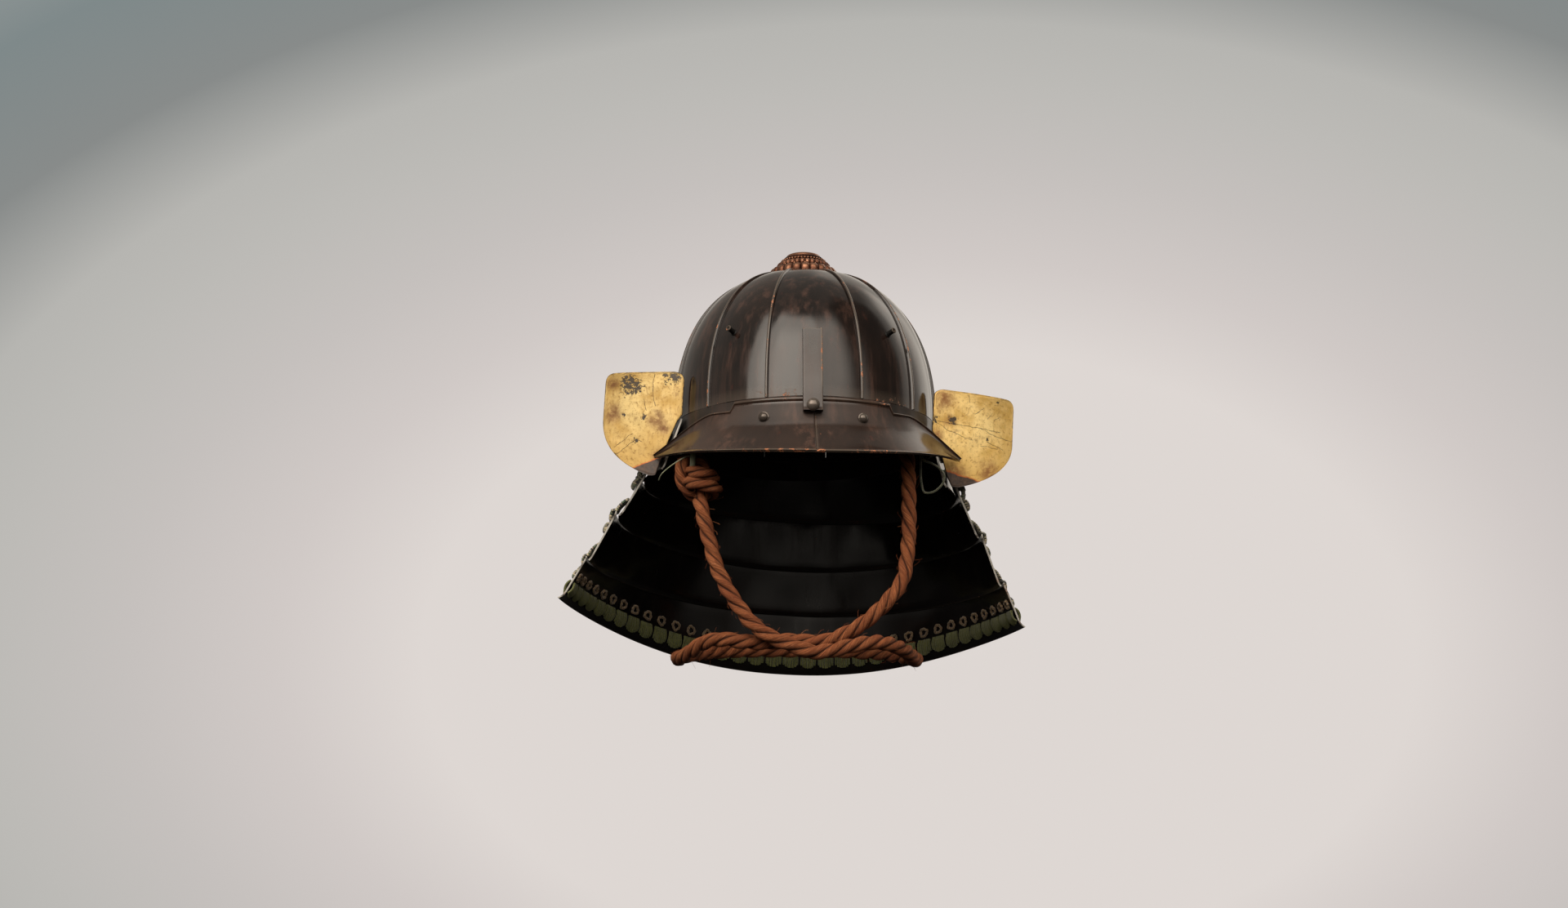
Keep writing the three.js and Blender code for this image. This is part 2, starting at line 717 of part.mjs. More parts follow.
function buildCords() {
  add("chin_cord", roundCord(CHIN_CORD, CHIN_CORD_ROUTE), rustHemp);
  add("tie_loop_left", roundCord(TIE_LEFT, TIE_LEFT_ROUTE), greenBraid);
  add("tie_loop_right", roundCord(TIE_RIGHT, TIE_RIGHT_ROUTE), greenBraid);
  const [eyeX, eyeY, eyeZ] = KNOT_EYE.centre;
  const eyeRoute = stations(10, radians(KNOT_EYE.from), radians(KNOT_EYE.to)).map((angle) => [
    eyeX + KNOT_EYE.halfWidth * Math.cos(angle),
    eyeY,
    eyeZ + KNOT_EYE.halfHeight * Math.sin(angle),
  ]);
  const eye = roundCord({ radius: KNOT_EYE.radius, sides: 8, steps: 18 }, eyeRoute);
  const { centre, halfWidth, halfDepth, halfHeight } = KNOT_BARREL;
  const barrel = new THREE.SphereGeometry(1, 14, 10);
  barrel.rotateX(Math.PI / 2);
  barrel.scale(halfWidth, halfDepth, halfHeight);
  barrel.translate(...centre);
  add("chin_knot", joined(barrel, eye), rustHemp);
  const [before, last] = CHIN_CORD_ROUTE.slice(-2).map((xyz) => point(...xyz));
  const direction = last.clone().sub(before).normalize();
  const wrap = [
    [0, 0.35],
    [WHIPPING.radius, 0.35],
    [WHIPPING.radius, WHIPPING.length - 2],
    [WHIPPING.radius - 2, WHIPPING.length],
    [0, WHIPPING.length],
  ];
  stand(add("chin_cord_whipping", turned(wrap, 14), greenBraid), last, direction);
}

buildBowl();
buildStuds();
buildPeak();
buildCrestSocket();
buildCrown();
buildCords();

const neckGuard = new THREE.Group();
neckGuard.rotation.y = radians(NECK_GUARD_ROLL);
helmet.add(neckGuard);
buildLames(neckGuard);
buildTurnbacks(neckGuard);
buildLacing(neckGuard);

helmet.position.z = -SEAT_Z;
const part = new THREE.Group();
part.add(helmet);
export default part;
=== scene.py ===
# %% [markdown]
# # A kabuto, the helmet of a samurai
# The bowl is twelve lacquered iron plates with turned-up edges. It carries a peak, a crest socket, a
# copper crown ornament, two gilded turn-backs, a neck guard of four laced lames and a rope chin cord.
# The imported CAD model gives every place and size. This script lays a finer surface over each piece.

# %% The frame
import math
from collections import namedtuple

import bpy
import numpy as np
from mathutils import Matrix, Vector


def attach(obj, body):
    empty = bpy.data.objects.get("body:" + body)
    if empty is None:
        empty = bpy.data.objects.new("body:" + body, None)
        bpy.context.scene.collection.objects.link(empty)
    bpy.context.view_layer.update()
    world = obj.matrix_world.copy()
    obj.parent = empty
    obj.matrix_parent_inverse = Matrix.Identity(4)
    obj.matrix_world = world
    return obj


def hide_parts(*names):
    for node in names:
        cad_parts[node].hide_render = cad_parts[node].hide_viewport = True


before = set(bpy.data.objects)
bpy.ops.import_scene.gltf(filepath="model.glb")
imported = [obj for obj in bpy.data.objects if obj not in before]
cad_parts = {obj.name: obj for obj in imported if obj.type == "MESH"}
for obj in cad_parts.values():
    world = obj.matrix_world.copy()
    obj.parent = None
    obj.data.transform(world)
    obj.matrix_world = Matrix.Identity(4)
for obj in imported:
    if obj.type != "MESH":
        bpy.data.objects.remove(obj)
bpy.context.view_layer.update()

MM = 0.001
SEAT_DROP = 122.0  # mm, from the seat of the head down to the level of the bowl's lower edge

# %% [markdown]
# ## Camera
# The helmet is seen from a little below, so that the neck guard opens like a bell. A long lens from
# three metres keeps the curves of the plates true, where a short lens would swell the peak.

# %% Camera
CAMERA_TURN = math.radians(-3.2)
CAMERA_RISE = math.radians(-12)
CAMERA_DISTANCE = 3.0
LENS_MM, SENSOR_MM = 77.8, 36
AIM_LEFT, AIM_DOWN = 0.0174, 0.021  # the aim, off the middle of the bowl's lower edge

back = Vector((
    math.sin(CAMERA_TURN) * math.cos(CAMERA_RISE),
    -math.cos(CAMERA_TURN) * math.cos(CAMERA_RISE),
    math.sin(CAMERA_RISE),
))
right = Vector((math.cos(CAMERA_TURN), math.sin(CAMERA_TURN), 0))
aim = Vector((0, 0, -SEAT_DROP * MM)) - right * AIM_LEFT - back.cross(right) * AIM_DOWN

lens = bpy.data.cameras.new("camera")
lens.lens = LENS_MM
lens.sensor_width = SENSOR_MM
camera = bpy.data.objects.new("camera", lens)
bpy.context.collection.objects.link(camera)
camera.location = aim + back * CAMERA_DISTANCE
camera.rotation_mode = "QUATERNION"
camera.rotation_quaternion = (-back).to_track_quat("-Z", "Y")
bpy.context.scene.camera = camera
print("camera at", [round(v, 3) for v in camera.location])

# %% [markdown]
# ## Grids of points
# Every surface here is a grid: column i and row j of an array of points. A sheet with a thickness is
# a grid too: its rows run down the outer face, back up the inner one, and close on themselves. So one
# helper makes all the faces, and a strip of quads closes each end.


# %% Shapes from grids
def unit(vectors):
    """The vectors scaled to length one."""
    return vectors / np.maximum(np.linalg.norm(vectors, axis=-1, keepdims=True), 1e-12)


def smooth(x, low=0.0, high=1.0):
    """Smoothstep: 3 t^2 - 2 t^3, with t the share of the way from low to high."""
    t = np.clip((x - low) / (high - low), 0, 1)
    return t * t * (3 - 2 * t)


def signed_power(x, power):
    """|x| to the power, with the sign of x."""
    return np.sign(x) * np.abs(x) ** power


def circle(count):
    """Equal angles once round: the last one stops short of the first."""
    return np.linspace(0, 2 * math.pi, count, endpoint=False)


def xyz(x, y, z):
    """Three arrays, or numbers, brought to one size and joined as points."""
    return np.stack(np.broadcast_arrays(x, y, z), -1)


def grid_quads(columns, rows, ring_u):
    """Quad (i, j) joins columns i and i+1 and rows j and j+1; point (i, j) is number i*rows + j. The
    rows always close on themselves. If the columns don't, a strip of quads closes each end."""
    i = np.arange(columns if ring_u else columns - 1)[:, None]
    j = np.arange(rows)[None, :]
    i, j = (n.ravel() for n in np.broadcast_arrays(i, j))
    next_i, next_j = (i + 1) % columns, (j + 1) % rows
    quads = np.stack([i * rows + j, next_i * rows + j, next_i * rows + next_j, i * rows + next_j], -1)
    if not ring_u:
        k = np.arange(rows // 2 - 1)
        strip = np.stack([k, k + 1, rows - 2 - k, rows - 1 - k], -1)
        quads = np.concatenate([quads, strip, strip[:, ::-1] + (columns - 1) * rows])
    return quads


def laid_out(paint, size):
    """Paint by name, as rows of values for each point. size is the grid's, without coordinates.
    Whatever is smaller than the grid, such as one number for all of it, is spread over it."""
    laid = {}
    for name, value in paint.items():
        value = np.asarray(value, float)
        if value.ndim <= len(size):
            value = np.broadcast_to(value, size)
        laid[name] = value.reshape(math.prod(size), -1)
    return laid


def shape(grid, ring_u=False, **paint):
    """A closed shape over a grid (columns, rows, 3) in mm. Open ends are capped. paint holds values
    for each point, by name. The faces are turned round if the volume inside comes out negative."""
    columns, rows = grid.shape[:2]
    points = grid.reshape(-1, 3)
    quads = grid_quads(columns, rows, ring_u)
    a, b, c, d = (points[quads[:, corner]] for corner in range(4))
    volume = np.sum(a * np.cross(b, c)) + np.sum(a * np.cross(c, d))
    if volume < 0:
        quads = quads[:, ::-1]
    return {"points": points, "quads": quads, "paint": laid_out(paint, (columns, rows))}


def many(grids, ring_u=False, **paint):
    """The same closed grid many times over: grids is (copies, columns, rows, 3)."""
    copies, columns, rows = grids.shape[:3]
    first = shape(grids[0], ring_u)
    starts = np.arange(copies)[:, None, None] * columns * rows
    quads = (first["quads"][None] + starts).reshape(-1, 4)
    return {"points": grids.reshape(-1, 3), "quads": quads, "paint": laid_out(paint, grids.shape[:3])}


def together(*shapes):
    """Several shapes as one, with the point numbers of each moved past those before it."""
    starts = np.cumsum([0] + [len(s["points"]) for s in shapes[:-1]])
    names = set(shapes[0]["paint"]).intersection(*(s["paint"] for s in shapes))
    return {
        "points": np.concatenate([s["points"] for s in shapes]),
        "quads": np.concatenate([s["quads"] + start for s, start in zip(shapes, starts)]),
        "paint": {name: np.concatenate([s["paint"][name] for s in shapes]) for name in names},
    }


def wall(outer, inner, ring=False, **paint):
    """A sheet between two grids of the same size: the outer rows down, then the inner rows up."""
    grid = np.concatenate([outer, inner[:, ::-1]], axis=1)
    faces = {name: np.broadcast_to(value, outer.shape[:2]) for name, value in paint.items()}
    both = {name: np.concatenate([value, value[:, ::-1]], axis=1) for name, value in faces.items()}
    return shape(grid, ring_u=ring, **both)


def sheet_normal(grid):
    """The direction square to a grid at each point: its column step crossed with its row step."""
    across = np.gradient(grid, axis=0)
    down = np.gradient(grid, axis=1)
    return unit(np.cross(across, down))


# %% [markdown]
# ## Pieces
# A piece becomes a mesh in metres, in the CAD model's own frame. It rides on the body "root", hides
# the plain solids that it stands for, and takes the finish that it is given.
# The neck guard hangs a little lower on one side, so its pieces are rolled about the bowl's centre.

# %% Making a piece
NECK_GUARD_ROLL = math.radians(3.1)
counts = {}


def rolled(made):
    """The shape turned about the line through the bowl's centre from front to back."""
    x, y, z = made["points"].T
    c, s = math.cos(NECK_GUARD_ROLL), math.sin(NECK_GUARD_ROLL)
    return {**made, "points": xyz(x * c + z * s, y, z * c - x * s)}


def piece(name, made, finish, nodes=(), edge=0.0, sharp=60):
    """Puts the arrays in a mesh, shades it smooth, rounds edges by a bevel of this many mm, and
    hands it to the frame."""
    mesh = bpy.data.meshes.new(name)
    points, quads = made["points"], made["quads"]
    mesh.vertices.add(len(points))
    mesh.vertices.foreach_set("co", ((points - [0, 0, SEAT_DROP]) * MM).astype(np.float32).ravel())
    mesh.loops.add(quads.size)
    mesh.loops.foreach_set("vertex_index", quads.astype(np.int32).ravel())
    mesh.polygons.add(len(quads))
    mesh.polygons.foreach_set("loop_start", np.arange(0, quads.size, 4, dtype=np.int32))
    for key, values in made["paint"].items():
        kind = "FLOAT" if values.shape[1] == 1 else "FLOAT_VECTOR"
        field = "value" if kind == "FLOAT" else "vector"
        layer = mesh.attributes.new(key, kind, "POINT")
        layer.data.foreach_set(field, values.astype(np.float32).ravel())
    mesh.update(calc_edges=True)
    mesh.materials.append(finish)
    mesh.shade_smooth()
    if not edge:
        mesh.set_sharp_from_angle(angle=math.radians(sharp))
    obj = bpy.data.objects.new(name, mesh)
    bpy.context.collection.objects.link(obj)
    if edge:
        bevel = obj.modifiers.new("rounded edges", "BEVEL")
        bevel.width = edge * MM
        bevel.segments = 2
        bevel.angle_limit = math.radians(sharp)
        bevel.harden_normals = True
    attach(obj, "root")
    if nodes:
        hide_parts(*nodes)
    counts[name] = len(quads)
    return obj


# %% [markdown]
# ## Routes
# A cord is a profile carried along a path. The path is a Catmull-Rom curve through listed points,
# in mm from the middle of the bowl's lower edge. Its frame would spin if it were taken from
# one fixed direction, so the spin is summed along the path and turned back out.


# %% Routes and tubes
STEPS_A_LEG = 24  # points worked out between two listed ones, before the path is evened


def run_along(path):
    """The distance run along a polyline, at each of its points."""
    return np.concatenate([[0], np.cumsum(np.linalg.norm(np.diff(path, axis=0), axis=1))])


def read_off(path, run, stops):
    """The points of a polyline at these stops of its run."""
    return np.stack([np.interp(stops, run, path[:, axis]) for axis in range(3)], -1)


def evened(points, spacing):
    """The polyline resampled at even steps of about this length."""
    run = run_along(points)
    stops = np.linspace(0, run[-1], max(4, round(run[-1] / spacing) + 1))
    return read_off(points, run, stops)


def route(points, spacing=1.0):
    """A centripetal Catmull-Rom curve: knots are the square roots of the chord lengths apart, and
    three rounds of lerp between neighbours give each point. The ends are carried on straight."""
    p = np.asarray(points, float)
    p = np.concatenate([[2 * p[0] - p[1]], p, [2 * p[-1] - p[-2]]])
    p0, p1, p2, p3 = (p[i : len(p) - 3 + i, None] for i in range(4))
    legs = ((p0, p1), (p1, p2), (p2, p3))
    gaps = [np.sqrt(np.linalg.norm(b - a, axis=-1, keepdims=True)) for a, b in legs]
    t1 = gaps[0]
    t2 = t1 + gaps[1]
    t3 = t2 + gaps[2]
    t = t1 + (t2 - t1) * np.linspace(0, 1, STEPS_A_LEG, endpoint=False)[None, :, None]
    a1 = p0 + (p1 - p0) * t / t1
    a2 = p1 + (p2 - p1) * (t - t1) / (t2 - t1)
    a3 = p2 + (p3 - p2) * (t - t2) / (t3 - t2)
    b1 = a1 + (a2 - a1) * t / t2
    b2 = a2 + (a3 - a2) * (t - t1) / (t3 - t1)
    curve = (b1 + (b2 - b1) * (t - t1) / (t2 - t1)).reshape(-1, 3)
    return evened(np.concatenate([curve, p[-2][None]]), spacing)


def length_of(path):
    """The length of a polyline."""
    return float(np.linalg.norm(np.diff(path, axis=0), axis=1).sum())


def frames(path):
    """Two directions square to the path that don't spin about it."""
    tangent = unit(np.gradient(path, axis=0))
    side = unit(np.cross([0.0, 0.8, 0.6], tangent))
    up = np.cross(tangent, side)
    turning = np.sum(np.diff(side, axis=0) * (up[1:] + up[:-1]) / 2, axis=1)
    spin = -np.concatenate([[0], np.cumsum(turning)])[:, None]
    return side * np.cos(spin) + up * np.sin(spin), up * np.cos(spin) - side * np.sin(spin)


def tube_grid(path, radius, sides):
    """A ring of points about each point of the path: side cos + up sin, times the radius."""
    side, up = frames(path)
    around = circle(sides)[None, :, None]
    radius = np.broadcast_to(radius, (len(path),))[:, None, None]
    return path[:, None] + radius * (side[:, None] * np.cos(around) + up[:, None] * np.sin(around))


def swept(middles, radius, sides, normal_hint, ring=False):
    """Tubes about many paths (copies, steps, 3) at once: their side is the path crossed with a
    direction square to it, such as the normal of what they lie on."""
    steps = np.gradient(middles, axis=1)
    if ring:
        steps = np.roll(middles, -1, axis=1) - np.roll(middles, 1, axis=1)
    tangent = unit(steps)
    side = unit(np.cross(tangent, normal_hint))
    up = np.cross(side, tangent)
    around = circle(sides)[:, None]
    out = side[:, :, None] * np.cos(around) + up[:, :, None] * np.sin(around)
    return middles[:, :, None] + radius * out


def grain(run, sides, lay, twist_lay):
    """Paint that follows a twisted yarn without a seam: (cos, sin) of the angle round it, turned
    with the run along it, and the run itself in parts of the lay."""
    angle = circle(sides) + 2 * math.pi * run[:, None] / twist_lay
    return xyz(np.cos(angle), np.sin(angle), run[:, None] / lay)


STRANDS, STRAND_SIDES = 3, 14
STRAND_SHARE = 0.545  # a strand's radius over the rope's; 0.464 would only just touch, so they press
YARN_LAY = -0.7  # the lay of the yarns in a strand, over the strand's own; minus turns the other way


def rope(path, radius, lay, start, swell):
    """Strands laid round the path: each one's middle is a helix about it, and its tube presses on the
    others. swell varies the strands' thickness a little. The paint "depth" is the distance from the
    rope's own middle over its radius, so the finish can paint shade into the grooves."""
    run = run_along(path)
    side, up = frames(path)
    strand_radius = radius * STRAND_SHARE
    offset = radius - strand_radius
    made = []
    for k in range(STRANDS):
        angle = (start + 2 * math.pi * (k / STRANDS + run / lay))[:, None]
        middle = path + offset * (side * np.cos(angle) + up * np.sin(angle))
        wave = 1 + swell * np.sin(run / 9.0 + 2.1 * k) + swell * np.sin(run / 4.3 + 4.0 * k)
        grid = tube_grid(middle, strand_radius * wave, STRAND_SIDES)
        depth = np.linalg.norm(grid - path[:, None], axis=-1) / radius
        yarns = grain(run, STRAND_SIDES, lay, lay * YARN_LAY)
        made.append(shape(grid, grain=yarns, shade=(k * 0.37 + run / 400)[:, None], depth=depth))
    return together(*made)


HAIR_RADIUS = 0.085


def hairs(path, radius, count, seed):
    """Loose fibres: short curved threads that leave the rope's surface and bend back towards it. Each
    is 3 to 8 mm long and stands off by 0.5 to 2.4 mm."""
    draw = np.random.default_rng(seed)
    side, up = frames(path)
    place = draw.integers(4, len(path) - 12, count)
    turn = draw.uniform(0, 2 * math.pi, count)[:, None]
    outward = side[place] * np.cos(turn) + up[place] * np.sin(turn)
    way = unit(unit(path[place + 3] - path[place]) + draw.normal(0, 0.45, (count, 3)))
    reach = draw.uniform(3.0, 8.0, count)[:, None]
    lift = draw.uniform(0.5, 2.4, count)[:, None]
    t = np.linspace(0, 1, 6)[None, :, None]
    rooted = path[place][:, None] + outward[:, None] * (0.93 * radius + lift[:, None] * np.sin(2.3 * t))
    middles = rooted + way[:, None] * reach[:, None] * t
    grids = swept(middles, HAIR_RADIUS, 4, unit(outward)[:, None])
    paint = np.broadcast_to(turn[:, :, None, None] + [0.0, 0.3, 0.9], grids.shape)
    return many(grids, grain=paint, shade=0.3, depth=1.0)


# %% [markdown]
# ## Finishes
# A finish is a small graph of nodes that ends in the Principled shader. The graph is built by a
# little helper: each step adds one node, joins its inputs and gives back its output. The room's light
# uses the same helper, and a material's recipe adds the textures to it.


# %% Graph and recipe helpers
class Graph:
    """Nodes in a tree. A value passed to a step is either a number or another step's output."""

    def __init__(self, tree):
        self.tree = tree

    def step(self, kind, inputs=(), **settings):
        node = self.tree.nodes.new(kind)
        for key, value in settings.items():
            setattr(node, key, value)
        for key, value in dict(inputs).items():
            self.join(value, node.inputs[key])
        return node

    def join(self, value, socket):
        if isinstance(value, bpy.types.NodeSocket):
            self.tree.links.new(value, socket)
        else:
            socket.default_value = value

    def span(self, value, low, high, to_low=0.0, to_high=1.0):
        """value from low..high brought to to_low..to_high, with smooth ends and no overshoot."""
        inputs = {0: value, 1: low, 2: high, 3: to_low, 4: to_high}
        return self.step("ShaderNodeMapRange", inputs, interpolation_type="SMOOTHSTEP").outputs[0]

    def math(self, operation, a, b=0.0, c=0.0):
        return self.step("ShaderNodeMath", {0: a, 1: b, 2: c}, operation=operation).outputs[0]

    def vector(self, operation, a, b=(0, 0, 0), **named):
        """One vector operation. Dot products and distances come out as numbers."""
        node = self.step("ShaderNodeVectorMath", {0: a, 1: b, **named}, operation=operation)
        return node.outputs["Value" if operation in ("DOT_PRODUCT", "DISTANCE") else "Vector"]

    def parts(self, vector):
        return self.step("ShaderNodeSeparateXYZ", {0: vector}).outputs


class Recipe(Graph):
    """One material's nodes: the steps of a graph, and the textures and relief of a finish."""

    def __init__(self, name):
        self.material = bpy.data.materials.new(name)
        self.material.use_nodes = True
        super().__init__(self.material.node_tree)
        self.shader = self.tree.nodes["Principled BSDF"]
        self.place = self.step("ShaderNodeTexCoord").outputs["Object"]

    def paint(self, name, output="Fac"):
        return self.step("ShaderNodeAttribute", attribute_name=name).outputs[output]

    def scaled(self, vector, scale, turn=(0, 0, 0)):
        inputs = {"Vector": vector, "Scale": scale, "Rotation": turn}
        return self.step("ShaderNodeMapping", inputs).outputs["Vector"]

    def noise(self, scale, detail=2.0, rough=0.5, vector=None, stretch=None, output="Fac"):
        vector = self.place if vector is None else vector
        if stretch:
            vector = self.scaled(vector, stretch)
        inputs = {"Vector": vector, "Scale": scale, "Detail": detail, "Roughness": rough}
        return self.step("ShaderNodeTexNoise", inputs).outputs[output]

    def cells(self, scale, vector=None, randomness=1.0, output="Distance"):
        vector = self.place if vector is None else vector
        inputs = {"Vector": vector, "Scale": scale, "Randomness": randomness}
        return self.step("ShaderNodeTexVoronoi", inputs).outputs[output]

    def waves(self, scale, vector, degrees):
        """Straight bands, turned about z by this angle."""
        slanted = self.scaled(vector, (1, 1, 1), (0, 0, math.radians(degrees)))
        return self.step("ShaderNodeTexWave", {"Vector": slanted, "Scale": scale}).outputs["Fac"]

    def mix(self, share, a, b):
        """A colour between a and b."""
        node = self.step("ShaderNodeMix", data_type="RGBA")
        for name, value in (("Factor_Float", share), ("A_Color", a), ("B_Color", b)):
            socket = next(s for s in node.inputs if s.identifier == name)
            if not isinstance(value, bpy.types.NodeSocket) and name != "Factor_Float":
                value = (*value, 1)
            self.join(value, socket)
        return next(s for s in node.outputs if s.identifier == "Result_Color")

    def bump(self, height, distance, strength=1.0, normal=None):
        """Relief of this many mm, over what lies under it."""
        inputs = {"Height": height, "Distance": distance * MM, "Strength": strength}
        if normal is not None:
            inputs["Normal"] = normal
        return self.step("ShaderNodeBump", inputs).outputs["Normal"]

    def finish(self, colour, roughness, normal=None, **constants):
        self.join(colour, self.shader.inputs["Base Color"])
        self.join(roughness, self.shader.inputs["Roughness"])
        if normal is not None:
            self.join(normal, self.shader.inputs["Normal"])
        for key, value in constants.items():
            self.join(value, self.shader.inputs[key.replace("_", " ")])
        return self.material


# %% [markdown]
# ### Lacquer
# Urushi lacquer is brushed on in thin coats over iron. It is nearly black with a warm brown cast, and
# red undercoat glows through where it is thin. It is glossy but never quite flat: the surface rolls a
# little, brush lines run down the plates, and edges are rubbed to the orange clay of the ground.


# %% Lacquer
def lacquer(
    name, base, deep, roughness, streak=(0.040, 0.020, 0.014), relief=1.0, chips=1.0, red=0.3, **shader
):
    """Brushed lacquer. One paint says where edges rub, and its pale tone there is partly a painted
    highlight. "dull" says where the gloss is gone, and "rim" paints a highlight along bare iron
    edges. A piece without one of them has none of it."""
    r = Recipe(name)
    brushed = r.noise(1.0, 5, 0.62, stretch=(150, 150, 9))
    broad = r.noise(1.0, 3, 0.55, stretch=(46, 46, 6))
    cloudy = r.noise(15, 3, 0.55)
    colour = r.mix(r.span(cloudy, 0.3, 0.7), deep, base)
    colour = r.mix(r.math("MULTIPLY", r.span(brushed, 0.42, 0.72), r.span(broad, 0.35, 0.65)), colour, streak)
    glow = r.span(r.noise(1.0, 6, 0.75, stretch=(150, 150, 60)), 0.60, 0.72, 0.0, red)
    colour = r.mix(glow, colour, (0.085, 0.020, 0.011))
    wear = r.paint("wear")
    broken = r.span(r.noise(190, 5, 0.75), 0.5, 0.62)
    patchy = r.span(r.noise(24, 3, 0.6), 0.44, 0.62)
    rubbed = r.math("MULTIPLY", r.math("MULTIPLY", broken, patchy), wear)
    chip = r.span(rubbed, 0.22, 0.42, 0.0, chips)
    spots = r.span(r.cells(95), 0.035, 0.06, 1.0, 0.0)
    chip = r.math("MAXIMUM", chip, r.math("MULTIPLY", spots, r.span(r.noise(21, 2), 0.6, 0.68, 0.0, 0.6)))
    # Rubbed edges take a pale tone, which is partly real rubbing and partly a painted highlight.
    colour = r.mix(r.math("MULTIPLY", wear, 0.55), colour, (0.105, 0.080, 0.060))
    colour = r.mix(chip, colour, (0.34, 0.125, 0.055))
    # Painted highlight: a pale grey line along the lames' front edges, partly bare iron.
    colour = r.mix(r.paint("rim"), colour, (0.46, 0.43, 0.38))
    gloss = r.span(r.noise(38, 3, 0.6), 0.3, 0.75, roughness * 0.8, roughness * 1.35)
    gloss = r.math("ADD", gloss, r.span(brushed, 0.45, 0.75, 0.0, 0.09))
    gloss = r.math("MAXIMUM", gloss, r.math("MULTIPLY", r.math("MAXIMUM", chip, r.paint("dull")), 0.62))
    rolling = r.bump(r.noise(24, 1, 0.4), 0.75 * relief, 0.5)
    lines = r.bump(brushed, 0.07 * relief, 0.5, rolling)
    lines = r.bump(r.noise(420, 4, 0.7), 0.035 * relief, 0.5, lines)
    pits = r.bump(r.span(r.cells(150), 0.03, 0.09), 0.12, 0.35, lines)
    edge = r.bump(chip, -0.25, 0.6, pits)
    return r.finish(colour, gloss, edge, **{"IOR": 1.53, **shader})


black_lacquer = lacquer(
    "black lacquer", (0.0130, 0.0078, 0.0058), (0.0055, 0.0036, 0.0030), 0.12, chips=0.8
)
peak_lacquer = lacquer(
    "peak lacquer", (0.0300, 0.0165, 0.0112), (0.0150, 0.0090, 0.0066), 0.13, (0.055, 0.028, 0.019)
)
socket_lacquer = lacquer("socket lacquer", (0.026, 0.017, 0.013), (0.013, 0.009, 0.007), 0.24)
rivet_iron = lacquer(
    "rivet iron", (0.110, 0.090, 0.074), (0.050, 0.040, 0.033), 0.11, (0.15, 0.12, 0.10), Metallic=0.5
)
peg_lacquer = lacquer(
    "peg lacquer", (0.0035, 0.0028, 0.0025), (0.0020, 0.0018, 0.0016), 0.45, (0.006, 0.005, 0.004), IOR=1.32
)
# Painted shade: a darker copy of the black lacquer, so that the inside of the neck guard stays dark.
shaded_lame_lacquer = lacquer(
    "lame lacquer", (0.0050, 0.0036, 0.0032), (0.0022, 0.0018, 0.0017), 0.17, (0.008, 0.005, 0.004), red=0.1
)
band_lacquer = lacquer("rubbed lacquer", (0.026, 0.019, 0.015), (0.009, 0.007, 0.006), 0.42, relief=2.2)
print("lacquers made")

# %% [markdown]
# ### Copper and gold
# The crown ornament is cast copper alloy: dark brown skin in the hollows, and warm metal on whatever
# stands up and is rubbed. The turn-backs carry gold leaf over lacquer, laid in squares. It has brown
# stains, hairline cracks and blotches where the leaf is gone and the black shows.


# %% Copper and gold leaf
def copper():
    """Aged copper: the paint "raised" says how far a point stands up, from 0 to 1."""
    r = Recipe("aged copper")
    raised = r.math("ADD", r.paint("raised"), r.span(r.noise(60, 4, 0.6), 0.3, 0.7, -0.3, 0.3))
    colour = r.mix(r.span(raised, 0.1, 0.5), (0.026, 0.010, 0.006), (0.125, 0.050, 0.028))
    colour = r.mix(r.span(raised, 0.55, 1.05), colour, (0.30, 0.145, 0.085))
    roughness = r.span(raised, 0.2, 1.0, 0.55, 0.3)
    normal = r.bump(r.noise(220, 4, 0.6), 0.12, 0.6)
    return r.finish(colour, roughness, normal, Metallic=0.85)


